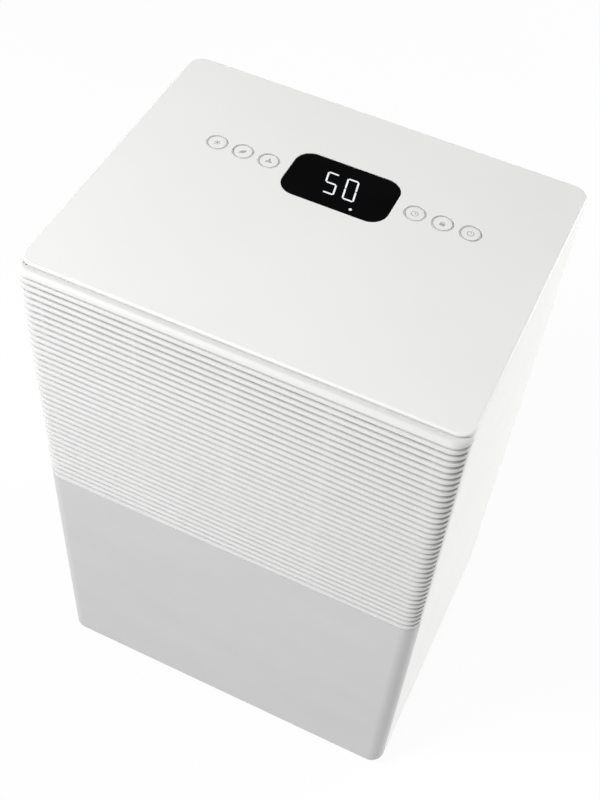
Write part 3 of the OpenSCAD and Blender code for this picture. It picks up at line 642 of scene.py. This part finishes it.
def hose_clear():
    """Milky clear hose."""
    maker = FinishMaker("hose_clear", Specular_IOR_Level=0.5)
    haze = maker.noise(90.0, 3.0)
    maker.drive("Base Color", maker.blend(maker.between(haze, 0.0, 1.0), (0.70, 0.72, 0.72),
                                          (0.82, 0.84, 0.83)))
    maker.drive("Alpha", maker.between(haze, 0.42, 0.58))
    maker.drive("Roughness", maker.between(haze, 0.14, 0.26))
    return maker.material


def tank_clear():
    """Smoked see-through tank plastic with a faint water-mark haze."""
    maker = FinishMaker("tank_clear", Specular_IOR_Level=0.5)
    haze = maker.noise(26.0, 5.0, (1, 1, 3))
    grain = maker.noise(600.0, 2.0)
    tone = bpy.context.scene.finishes.smoke
    maker.drive("Base Color", maker.blend(maker.between(haze, 0.0, 1.0), shade(tone, 0.98),
                                          shade(tone, 1.03)))
    maker.drive("Alpha", maker.between(haze, 0.55, 0.60))
    maker.drive("Roughness", maker.between(haze, 0.12, 0.22))
    maker.bump(grain, 0.00001)
    return maker.material


def mesh_fabric():
    """Woven filter net: warp and weft threads with open holes between them."""
    maker = FinishMaker("mesh_fabric", Specular_IOR_Level=0.3)
    threads = []
    for direction in ("X", "Z"):
        threads.append(maker.add(
            "ShaderNodeTexWave", {"bands_direction": direction, "wave_profile": "SIN"},
            {"Vector": maker.place(), "Scale": 250.0, "Distortion": 0.0}, output=1))
    warp, weft = threads
    weave = warp.larger(weft)
    slub = maker.noise(300.0, 3.0)
    maker.drive("Base Color", maker.blend(maker.between(slub, 0.0, 1.0), (0.60, 0.60, 0.59),
                                          (0.74, 0.74, 0.73)))
    maker.drive("Alpha", weave > 0.55)
    maker.drive("Roughness", maker.between(slub, 0.6, 0.8))
    maker.bump(weave, 0.0001)
    return maker.material


FINISHES = {make.__name__: make for make in (
    white_plastic, grille_white_painted_shade, filter_white, white_top, panel_grey, gloss_black, lit_white,
    black_plastic, grey_plastic, fan_plastic, switch_black, print_grey, rubber_black, wheel_rubber,
    black_paint, zinc_steel, fin_aluminium, can_aluminium, copper, board_green, hose_clear,
    tank_clear, mesh_fabric)}
MADE = {}


def finish(name):
    """A finish by its name, made the first time it is asked for."""
    if name not in MADE:
        MADE[name] = FINISHES[name]()
    return MADE[name]


# ---------- shells ----------

class MAKER_OT_rear_shell(bpy.types.Operator):
    """Thin rear shell with the openings in its back and the notch for the filter"""

    bl_idname = "maker.rear_shell"
    bl_label = "Rear Shell"

    def execute(self, context):
        sizes = context.scene.cabinet_sizes
        wall = sizes.shell_wall
        reach = 0.002
        shell = cuboid("rear_shell_skin", (-HALF_WIDTH, SHELL_LOW[1], SHELL_LOW[2]), SHELL_HIGH)
        round_edges(shell, lambda a, b: upright(a, b) and a.y > 0, sizes.corner_radius, 12)
        pick_faces(shell, lambda middle, normal: normal.y < -0.9 or abs(normal.z) > 0.9)
        bpy.ops.mesh.delete(type="FACE")
        close()
        use(shell, "SOLIDIFY", thickness=wall, offset=-1.0, use_even_offset=True)
        inner, outer = BACK - wall - reach, BACK + reach
        cup_wall, lap, gap = 0.002, 0.0004, 0.0004
        cutters = [
            cuboid("outlet_cut", (OUTLET_LOW[0] + lap, inner, OUTLET_LOW[2] + lap),
                   (OUTLET_HIGH[0] - lap, outer, OUTLET_HIGH[2] - lap)),
            cuboid("grip_cut", (GRIP_LOW[0] + cup_wall, inner, GRIP_LOW[2] + cup_wall),
                   (GRIP_HIGH[0] - cup_wall, outer, GRIP_HIGH[2] - cup_wall)),
            cuboid("filter_cut", (-HALF_WIDTH - reach, SHELL_LOW[1] - reach, FILTER_LOW[2] - gap),
                   (-HALF_WIDTH + wall + reach, FILTER_HIGH[1] + gap, FILTER_HIGH[2] + gap)),
        ]
        for low, high in ((SPOUT_LOW, SPOUT_HIGH), (GLAND_LOW, GLAND_HIGH)):
            x, z = (low[0] + high[0]) / 2, (low[2] + high[2]) / 2
            radius = (high[2] - low[2]) / 2 - cup_wall
            cutters.append(rod("round_cut", (x, inner, z), (x, outer, z), radius))
        cut(shell, *cutters)
        soften(shell, sizes.edge_round)
        hand_over(shell, "white_plastic", "rear_shell")
        return {"FINISHED"}


class MAKER_OT_top_cover(bpy.types.Operator):
    """Lift-off top cover with a soft upper edge, the lens pocket and the key holes"""

    bl_idname = "maker.top_cover"
    bl_label = "Top Cover"

    def execute(self, context):
        sizes = context.scene.cabinet_sizes
        controls = context.scene.control_sizes
        low, high = Vector(COVER_LOW), Vector(COVER_HIGH)
        low.z = high.z - sizes.cover_rim
        cover = cuboid("top_cover_skin", low, high)
        round_edges(cover, lambda a, b: upright(a, b) and a.y < 0, sizes.cover_radius, 12)
        round_edges(cover, lambda a, b: upright(a, b) and a.y > high.y - NEAR, sizes.corner_radius, 12)
        pick_faces(cover, lambda middle, normal: normal.z < -0.9)
        bpy.ops.mesh.inset(thickness=sizes.shell_wall)
        depth = high.z - low.z - sizes.cover_plate
        bpy.ops.mesh.extrude_region_move(TRANSFORM_OT_translate={"value": (0, 0, depth)})
        close()
        round_edges(cover, lambda a, b: min(a.z, b.z) > high.z - NEAR, sizes.cover_edge, 5)
        gap, lap = controls.lens_gap, 0.004
        above, step = high.z + 0.002, high.z - 0.002
        below = step - 0.004
        pocket = cuboid("pocket_cut", (LENS_LOW[0] - gap, LENS_LOW[1] - gap, step),
                        (LENS_HIGH[0] + gap, LENS_HIGH[1] + gap, above))
        round_edges(pocket, upright, controls.lens_radius, 12)
        window = cuboid("window_cut", (LENS_LOW[0] + lap, LENS_LOW[1] + lap, below),
                        (LENS_HIGH[0] - lap, LENS_HIGH[1] - lap, high.z))
        round_edges(window, upright, controls.lens_radius - lap, 8)
        cutters = [pocket, window]
        for key in KEYS:
            key_low, key_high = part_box(key)
            x, y = (key_low[0] + key_high[0]) / 2, (key_low[1] + key_high[1]) / 2
            radius = (key_high[1] - key_low[1]) / 2 + controls.key_gap
            cutters.append(rod("key_cut", (x, y, below), (x, y, above), radius))
        cut(cover, *cutters)
        soften(cover, 0.0004)
        hand_over(cover, "white_top", "top_cover")
        return {"FINISHED"}


class MAKER_OT_front_grille(bpy.types.Operator):
    """Intake grille: slats that run round both corners, end posts, ribs and a rolled shoulder"""

    bl_idname = "maker.front_grille"
    bl_label = "Front Grille"

    def slats(self, sizes, wall, first, count):
        """All the slats: one is swept round the front and then repeated upwards."""
        height = sizes.pitch - sizes.slot
        slat = wall_profile("grille_slats", first, first + height, wall)
        round_corners(slat, lambda point: True, sizes.slat_round)
        wrap_front(slat, first)
        use(slat, "ARRAY", count=count, use_relative_offset=False, use_constant_offset=True,
            constant_offset_displace=(0, 0, sizes.pitch))
        smooth(slat, 40)
        return slat

    def lower_band(self, sizes, wall, top):
        """Plain band under the first slot."""
        band = wall_profile("grille_band", GRILLE_LOW[2], top, wall)
        round_corners(band, lambda point: True, sizes.slat_round / 2)
        wrap_front(band, top)
        smooth(band, 40)
        return band

    def shoulder(self, sizes, cabinet, bottom):
        """Rolled shoulder over the last slot, cut back where the top cover fits in."""
        top, outer, gap = GRILLE_HIGH[2], -HALF_WIDTH, cabinet.cover_gap
        shoulder = wall_profile("grille_shoulder", bottom, top, sizes.roll)
        round_corners(shoulder, lambda point: point.z > top - NEAR and point.x < outer + NEAR,
                      (top - bottom) * 0.98, 8)
        round_corners(shoulder, lambda point: point.z < bottom + NEAR, sizes.slat_round / 2, 2)
        wrap_front(shoulder, bottom)
        front = FRONT + cabinet.cover_setback - gap
        room = cuboid("cover_room",
                      (-HALF_WIDTH - gap, front, COVER_HIGH[2] - cabinet.cover_rim - gap),
                      (HALF_WIDTH + gap, BACK, COVER_HIGH[2] + gap))
        round_edges(room, lambda a, b: upright(a, b) and a.y < 0, cabinet.cover_radius + gap, 12)
        cut(shoulder, room)
        soften(shoulder, 0.0003)
        return shoulder

    def post(self, sizes, cabinet, side):
        """Plain post that the slats end in, beside one seam."""
        radius, inset = cabinet.corner_radius, 0.001
        top = COVER_HIGH[2] - cabinet.cover_rim - cabinet.cover_gap - inset
        post = wall_profile("grille_post", GRILLE_LOW[2] + inset, top, cabinet.front_wall)
        sweep(post, 4, -sizes.post / radius, (-HALF_WIDTH + radius, SEAM, 0))
        weld()
        close()
        if side > 0:
            post.scale = (-1, 1, 1)
            work_on(post)
            bpy.ops.object.transform_apply(location=False, rotation=False, scale=True)
            edit(post, "FACE")
            bpy.ops.mesh.select_all(action="SELECT")
            bpy.ops.mesh.normals_make_consistent(inside=False)
            close()
        soften(post, 0.0002)
        return post

    def rib(self, cabinet, x):
        """Upright rib that ties the slats together from behind."""
        half, depth, tuck, inset = 0.001, 0.003, 0.0005, 0.001
        back = FRONT + cabinet.front_wall
        top = COVER_HIGH[2] - cabinet.cover_rim - cabinet.cover_gap - 2 * inset
        rib = cuboid("grille_rib", (x - half, back - tuck, GRILLE_LOW[2] + inset),
                     (x + half, back + depth, top))
        soften(rib, 0.0003)
        return rib

    def execute(self, context):
        sizes = context.scene.grille_sizes
        cabinet = context.scene.cabinet_sizes
        wall = cabinet.front_wall
        first_slot = GRILLE_LOW[2] + sizes.land
        room = GRILLE_HIGH[2] - sizes.land - sizes.slot - first_slot
        slots = int(room / sizes.pitch + WELD) + 1
        first_slat = first_slot + sizes.slot
        last_slot_top = first_slot + (slots - 1) * sizes.pitch + sizes.slot
        parts = [self.slats(sizes, wall, first_slat, slots - 1),
                 self.lower_band(sizes, wall, first_slot),
                 self.shoulder(sizes, cabinet, last_slot_top),
                 self.post(sizes, cabinet, -1), self.post(sizes, cabinet, 1)]
        rib_margin = 0.02
        span = 2 * (HALF_WIDTH - rib_margin)
        for number in range(sizes.ribs):
            share = (number - (sizes.ribs - 1) / 2) / (sizes.ribs - 1)
            parts.append(self.rib(cabinet, share * span))
        for part in parts:
            # The grille gets a darker copy of the shell's white plastic: painted shade for the
            # cabinet's front.
            hand_over(part, "white_plastic", "front_grille", look="grille_white_painted_shade")
        return {"FINISHED"}


class MAKER_OT_tank_front(bpy.types.Operator):
    """Grey front panel of the tank, wrapped round both corners and turned in along its lower edge"""

    bl_idname = "maker.tank_front"
    bl_label = "Tank Front"

    def execute(self, context):
        sizes = context.scene.cabinet_sizes
        low, high = PANEL_LOW[2], PANEL_HIGH[2]
        wall, flange = sizes.front_wall, sizes.panel_flange
        panel = wall_profile("tank_front_panel", low, high, wall)
        edit(panel, "FACE")
        bpy.ops.mesh.select_all(action="SELECT")
        bpy.ops.mesh.bisect(plane_co=(0, 0, low + wall), plane_no=(0, 0, 1))
        close()
        inner = -HALF_WIDTH + wall
        pick_edges(panel, lambda a, b: min(a.x, b.x) > inner - NEAR
                   and max(a.z, b.z) < low + wall + NEAR)
        bpy.ops.mesh.extrude_region_move(TRANSFORM_OT_translate={"value": (flange - wall, 0, 0)})
        close()
        outer = -HALF_WIDTH
        round_corners(panel, lambda point: point.x < outer + NEAR and point.z < low + NEAR,
                      sizes.panel_round, 8)
        round_corners(panel, lambda point: point.z > high - NEAR, sizes.edge_round, 2)
        wrap_front(panel, low)
        soften(panel, 0.0)
        half_pad = Vector((0.012, 0, 0.008))
        tuck, thickness, from_middle = 0.0002, 0.001, 0.11
        pads = []
        for x in (-from_middle, from_middle):
            for z in (0.0854, 0.2154):
                centre = Vector((x, FRONT + wall, z))
                pads.append(cuboid("tank_pad", centre - half_pad - Vector((0, tuck, 0)),
                                   centre + half_pad + Vector((0, thickness, 0))))
        pad = join("tank_pads", *pads)
        soften(pad, 0.0003)
        hand_over(panel, "panel_grey", "tank_front")
        hand_over(pad, "panel_grey", "tank_front")
        return {"FINISHED"}


class MAKER_OT_outlet_grille(bpy.types.Operator):
    """Air outlet in the back: a frame, rounded louvres and three ribs"""

    bl_idname = "maker.outlet_grille"
    bl_label = "Outlet Grille"

    def execute(self, context):
        sizes = context.scene.grille_sizes
        low, high = Vector(OUTLET_LOW), Vector(OUTLET_HIGH)
        rim = Vector((0.008, 0, 0.008))
        reach = Vector((0, 0.002, 0))
        border = cuboid("outlet_border", low, high)
        window_low, window_high = low + rim, high - rim
        louvres = int((window_high.z - window_low.z) / sizes.pitch + WELD)
        window_high.z = window_low.z + (louvres - 1) * sizes.pitch + sizes.slot
        cut(border, cuboid("outlet_window", window_low - reach, window_high + reach))
        soften(border, 0.0005)
        tuck = 0.001
        bottom = window_low.z + sizes.slot
        louvre = cuboid("outlet_louvres", (window_low.x - tuck, low.y + 0.0002, bottom),
                        (window_high.x + tuck, high.y - 0.0002, bottom + sizes.pitch - sizes.slot))
        round_edges(louvre, lambda a, b: abs(a.x - b.x) > tuck, 0.0012, 4)
        use(louvre, "ARRAY", count=louvres - 1, use_relative_offset=False, use_constant_offset=True,
            constant_offset_displace=(0, 0, sizes.pitch))
        soften(louvre, 0.0)
        half_rib, rib_step, rib_end = 0.001, 0.046, 0.002
        ribs = [cuboid("outlet_rib", (x - half_rib, low.y + 0.0005, low.z + rib_end),
                       (x + half_rib, high.y - 0.0015, high.z - rib_end))
                for x in (-rib_step, 0.0, rib_step)]
        rib = join("outlet_ribs", *ribs)
        soften(rib, 0.0003)
        for piece in (border, louvre, rib):
            hand_over(piece, "white_plastic", "outlet_grille")
        return {"FINISHED"}


# ---------- controls ----------

class MAKER_OT_display_lens(bpy.types.Operator):
    """Glossy display lens with a rounded edge"""

    bl_idname = "maker.display_lens"
    bl_label = "Display Lens"

    def execute(self, context):
        lens = cuboid("display_lens_glass", LENS_LOW, LENS_HIGH)
        round_edges(lens, upright, context.scene.control_sizes.lens_radius, 14)
        top = LENS_HIGH[2]
        round_edges(lens, lambda a, b: min(a.z, b.z) > top - NEAR, 0.0005, 3)
        soften(lens, 0.0)
        hand_over(lens, "gloss_black", "display_lens")
        return {"FINISHED"}


class MAKER_OT_keys(bpy.types.Operator):
    """Six round keys, each with a printed ring and its own symbol"""

    bl_idname = "maker.keys"
    bl_label = "Keys"

    def bar(self, middle, length, width, turn=0.0):
        """A short printed bar."""
        deselect()
        bpy.ops.mesh.primitive_cube_add(size=1, location=middle, rotation=(0, 0, turn))
        bpy.context.object.scale = (length, width, bpy.context.scene.control_sizes.ink)
        return named("symbol_bar")

    def arc(self, middle, radius, width, start=0.0, angle=FULL):
        """A printed arc: a sliver as long as the stroke is wide, swept round the middle."""
        deselect()
        outside = (middle[0] + radius, middle[1], middle[2])
        bpy.ops.mesh.primitive_plane_add(size=1, location=outside)
        bpy.context.object.scale = (width, 0.00001, 1)
        arc = named("symbol_arc")
        sweep(arc, 28, -angle, middle)
        weld(WELD / 10)
        bpy.ops.transform.rotate(value=-start, orient_axis="Z", center_override=middle)
        close()
        return arc

    def dot(self, middle, radius, squash=1.0, turn=0.0):
        """A printed dot or leaf."""
        deselect()
        bpy.ops.mesh.primitive_cylinder_add(vertices=24, radius=radius, location=middle,
                                            depth=bpy.context.scene.control_sizes.ink,
                                            rotation=(0, 0, turn))
        bpy.context.object.scale = (1, squash, 1)
        return named("symbol_dot")

    def around(self, middle, distance, angle):
        """A point at a distance and an angle from the middle."""
        return (middle[0] + distance * math.cos(angle), middle[1] + distance * math.sin(angle),
                middle[2])

    def symbol(self, key, middle):
        """The parts of one key's symbol."""
        if key == "key_fan_speed":
            arms = [self.bar(self.around(middle, 0.0014, angle), length=0.0026, width=0.0006,
                             turn=angle)
                    for angle in (math.radians(60 * number) for number in range(6))]
            return arms + [self.dot(middle, radius=0.0008)]
        if key == "key_mode":
            lean = math.radians(40)
            leaf = self.dot(middle, radius=0.0028, squash=0.5, turn=lean)
            stalk = self.bar(self.around(middle, 0.0026, lean + math.pi), length=0.0024,
                             width=0.0005, turn=lean)
            return [leaf, stalk]
        if key == "key_swing":
            blades = [self.dot(self.around(middle, 0.0016, angle), radius=0.0014, squash=0.55,
                               turn=angle + 0.6)
                      for angle in (math.radians(90 + 120 * number) for number in range(3))]
            return blades + [self.dot(middle, radius=0.0006)]
        if key == "key_timer":
            return [self.arc(middle, radius=0.0026, width=0.0005),
                    self.bar(self.around(middle, 0.0008, QUARTER), length=0.0018, width=0.0004,
                             turn=QUARTER),
                    self.bar(self.around(middle, 0.0006, 0), length=0.0014, width=0.0004)]
        if key == "key_lock":
            body = (middle[0], middle[1] - 0.0010, middle[2])
            shackle = (middle[0], middle[1] + 0.0004, middle[2])
            return [self.bar(body, length=0.0040, width=0.0026),
                    self.arc(shackle, radius=0.0014, width=0.0005, angle=math.pi)]
        return [self.arc(middle, radius=0.0024, width=0.0006, start=math.radians(120),
                         angle=math.radians(300)),
                self.bar(self.around(middle, 0.0018, QUARTER), length=0.0028, width=0.0006,
                         turn=QUARTER)]

    def execute(self, context):
        sizes = context.scene.control_sizes
        film, ring_inset = 0.00002, 0.0007
        for key in KEYS:
            low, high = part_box(key)
            x, y = (low[0] + high[0]) / 2, (low[1] + high[1]) / 2
            radius = (high[1] - low[1]) / 2
            top = high[2] - sizes.print_height
            cap = rod(key + "_cap", (x, y, low[2]), (x, y, top), radius, 72)
            pick_faces(cap, lambda middle, normal: normal.z > 0.9)
            bpy.ops.mesh.inset(thickness=sizes.key_rim)
            bpy.ops.transform.translate(value=(0, 0, -sizes.key_dish))
            close()
            soften(cap, 0.00025, 2, 25)
            middle = (x, y, top - sizes.key_dish + 2 * film)
            band = self.arc((x, y, top + film), radius - ring_inset, sizes.ring_width)
            marks = join(key + "_print", band, *self.symbol(key, middle))
            use(marks, "SOLIDIFY", thickness=film, offset=0.0)
            smooth(marks, 30)
            hand_over(cap, "white_plastic", key)
            hand_over(marks, "white_plastic", key, look="print_grey")
        return {"FINISHED"}


# ---------- inner parts ----------

EDGE_WORK = {
    "base_pan": 0.0005, "deck": 0.0004, "bay_partition": 0.0004, "filter_frame": 0.0005,
    "electronics_box": 0.0006, "drip_tray": 0.0004, "compressor": 0.0008, "run_capacitor": 0.0006,
    "fan_shroud": 0.0005, "fan_motor": 0.0008, "motor_bracket": 0.0004,
    "rear_grip_cup": 0.0005, "drain_spout": 0.0005, "drain_plug": 0.0004, "cord_gland": 0.0004,
    "tank_body": 0.0006, "tank_lid": 0.0005, "tank_float": 0.0004, "tank_switch": 0.0003,
    "fan_wheel": 0.0004, "cover_screws": 0.0002, "motor_shaft": 0.0003,
}
LOOKS = {"filter_frame": "filter_white"}
for corner in ("fl", "fr", "rl", "rr"):
    EDGE_WORK["castor_fork_" + corner] = 0.0004
    EDGE_WORK["castor_axle_" + corner] = 0.0003
    EDGE_WORK["castor_wheel_" + corner] = 0.0008


class MAKER_OT_inner_parts(bpy.types.Operator):
    """Inner and running parts, each with its edges broken as a moulding or a pressing has them"""

    bl_idname = "maker.inner_parts"
    bl_label = "Inner Parts"

    def execute(self, context):
        slots = node_slots()
        for node, width in EDGE_WORK.items():
            source = frame["nodes"][node]
            piece = bpy.data.objects.new(node + "_worked", source.data.copy())
            context.scene.collection.objects.link(piece)
            edit(piece, "VERT")
            weld(2 * WELD)
            close()
            piece.data.normals_split_custom_set_from_vertices([(0, 0, 0)] * len(piece.data.vertices))
            soften(piece, width, 2, 38)
            hand_over(piece, slots[node], node, look=LOOKS.get(node))
        return {"FINISHED"}


def node_slots():
    """The material slot of every node, as the record says."""
    return {part["node"]: part["material_slot"] for part in frame["record"]["subparts"]}


class MAKER_OT_plain_nodes(bpy.types.Operator):
    """Finishes on the nodes that keep their own shape"""

    bl_idname = "maker.plain_nodes"
    bl_label = "Remaining Nodes"

    def execute(self, context):
        slots = node_slots()
        for node, piece in frame["nodes"].items():
            piece.data.materials.clear()
            piece.data.materials.append(finish(slots[node]))
        return {"FINISHED"}


# ---------- stage ----------

class MAKER_OT_stage(bpy.types.Operator):
    """White sweep, soft lights and the camera"""

    bl_idname = "maker.stage"
    bl_label = "Stage"

    def floor(self):
        """White floor that reaches past the horizon of every view."""
        deselect()
        bpy.ops.mesh.primitive_plane_add(size=60, location=(0, 0, 0))
        floor = named("floor")
        maker = FinishMaker("floor_white", Base_Color=(0.06, 0.06, 0.06, 1), Roughness=1.0,
                            Specular_IOR_Level=0.0, Emission_Strength=0.94)
        paper = maker.noise(3.0, 2.0)
        maker.drive("Emission Color", maker.blend(maker.between(paper, 0.0, 1.0),
                                                  (0.995, 0.995, 0.995), (1.0, 1.0, 1.0)))
        floor.data.materials.append(maker.material)

    def softbox(self, name, place, power, size=0.8):
        """A square softbox aimed at the middle of the cabinet."""
        deselect()
        aim = Vector((0, 0, 0.3))
        place = Vector(place)
        turn = (aim - place).to_track_quat("-Z", "Y").to_euler()
        bpy.ops.object.light_add(type="AREA", location=place, rotation=turn)
        lamp = bpy.context.object
        lamp.name = name
        lamp.data.energy = power
        lamp.data.size = size

    def surroundings(self, context):
        """Dim even room whose walls brighten towards the horizon."""
        world = bpy.data.worlds.new("studio_world")
        world.use_nodes = True
        nodes, links = world.node_tree.nodes, world.node_tree.links
        direction = nodes.new("ShaderNodeTexCoord")
        split = nodes.new("ShaderNodeSeparateXYZ")
        fade = nodes.new("ShaderNodeMapRange")
        fade.interpolation_type = "SMOOTHSTEP"
        for socket, value in (("From Min", 0.12), ("From Max", 0.34), ("To Min", 0.94),
                              ("To Max", 0.10)):
            fade.inputs[socket].default_value = value
        links.new(direction.outputs["Generated"], split.inputs[0])
        links.new(split.outputs["Z"], fade.inputs["Value"])
        links.new(fade.outputs[0], nodes["Background"].inputs["Strength"])
        nodes["Background"].inputs["Color"].default_value = (1, 1, 1, 1)
        context.scene.world = world

    def camera(self, context):
        """Camera in front, to the right and above, as the object is usually shown."""
        deselect()
        tilt, roll, turn = 38.06, -3.38, 25.08
        bpy.ops.object.camera_add(location=(0.2323, -0.6073, 1.1578),
                                  rotation=[math.radians(angle) for angle in (tilt, roll, turn)])
        camera = bpy.context.object
        camera.data.lens = 55.2
        camera.data.sensor_width = 36.0
        camera.data.clip_start = 0.05
        context.scene.camera = camera

    def execute(self, context):
        self.floor()
        self.softbox("left_softbox", (-1.05, -1.15, 2.00), power=45.0)
        self.softbox("right_softbox", (1.65, 1.65, 0.75), power=29.0)
        self.softbox("top_softbox", (0.6, 0.6, 2.60), power=10.0)
        self.surroundings(context)
        context.scene.view_settings.view_transform = "Standard"
        self.camera(context)
        return {"FINISHED"}


class MAKER_PT_panel(bpy.types.Panel):
    """Lists the steps and the sizes."""

    bl_label = "Dehumidifier"
    bl_idname = "MAKER_PT_panel"
    bl_space_type = "VIEW_3D"
    bl_region_type = "UI"
    bl_category = "Dehumidifier"

    def draw(self, context):
        for step in STEPS:
            self.layout.operator(step.bl_idname)
        for name in GROUPS:
            group = getattr(context.scene, name)
            box = self.layout.box()
            for prop in group.__annotations__:
                box.prop(group, prop)


STEPS = (MAKER_OT_plain_nodes, MAKER_OT_rear_shell, MAKER_OT_top_cover, MAKER_OT_front_grille,
         MAKER_OT_tank_front, MAKER_OT_outlet_grille, MAKER_OT_display_lens, MAKER_OT_keys,
         MAKER_OT_inner_parts, MAKER_OT_stage)
GROUPS = {"cabinet_sizes": CabinetSizes, "grille_sizes": GrilleSizes, "control_sizes": ControlSizes,
          "finishes": Finishes}


def register():
    """Registers the sizes, the steps and the panel."""
    for name, group in GROUPS.items():
        bpy.utils.register_class(group)
        setattr(bpy.types.Scene, name, bpy.props.PointerProperty(type=group))
    for step in STEPS:
        bpy.utils.register_class(step)
    bpy.utils.register_class(MAKER_PT_panel)


def unregister():
    """Takes everything off again."""
    bpy.utils.unregister_class(MAKER_PT_panel)
    for step in reversed(STEPS):
        bpy.utils.unregister_class(step)
    for name, group in GROUPS.items():
        delattr(bpy.types.Scene, name)
        bpy.utils.unregister_class(group)


def main():
    """Builds the whole object in order."""
    register()
    for step in STEPS:
        section, name = step.bl_idname.split(".")
        getattr(getattr(bpy.ops, section), name)()


if __name__ == "__main__":
    main()
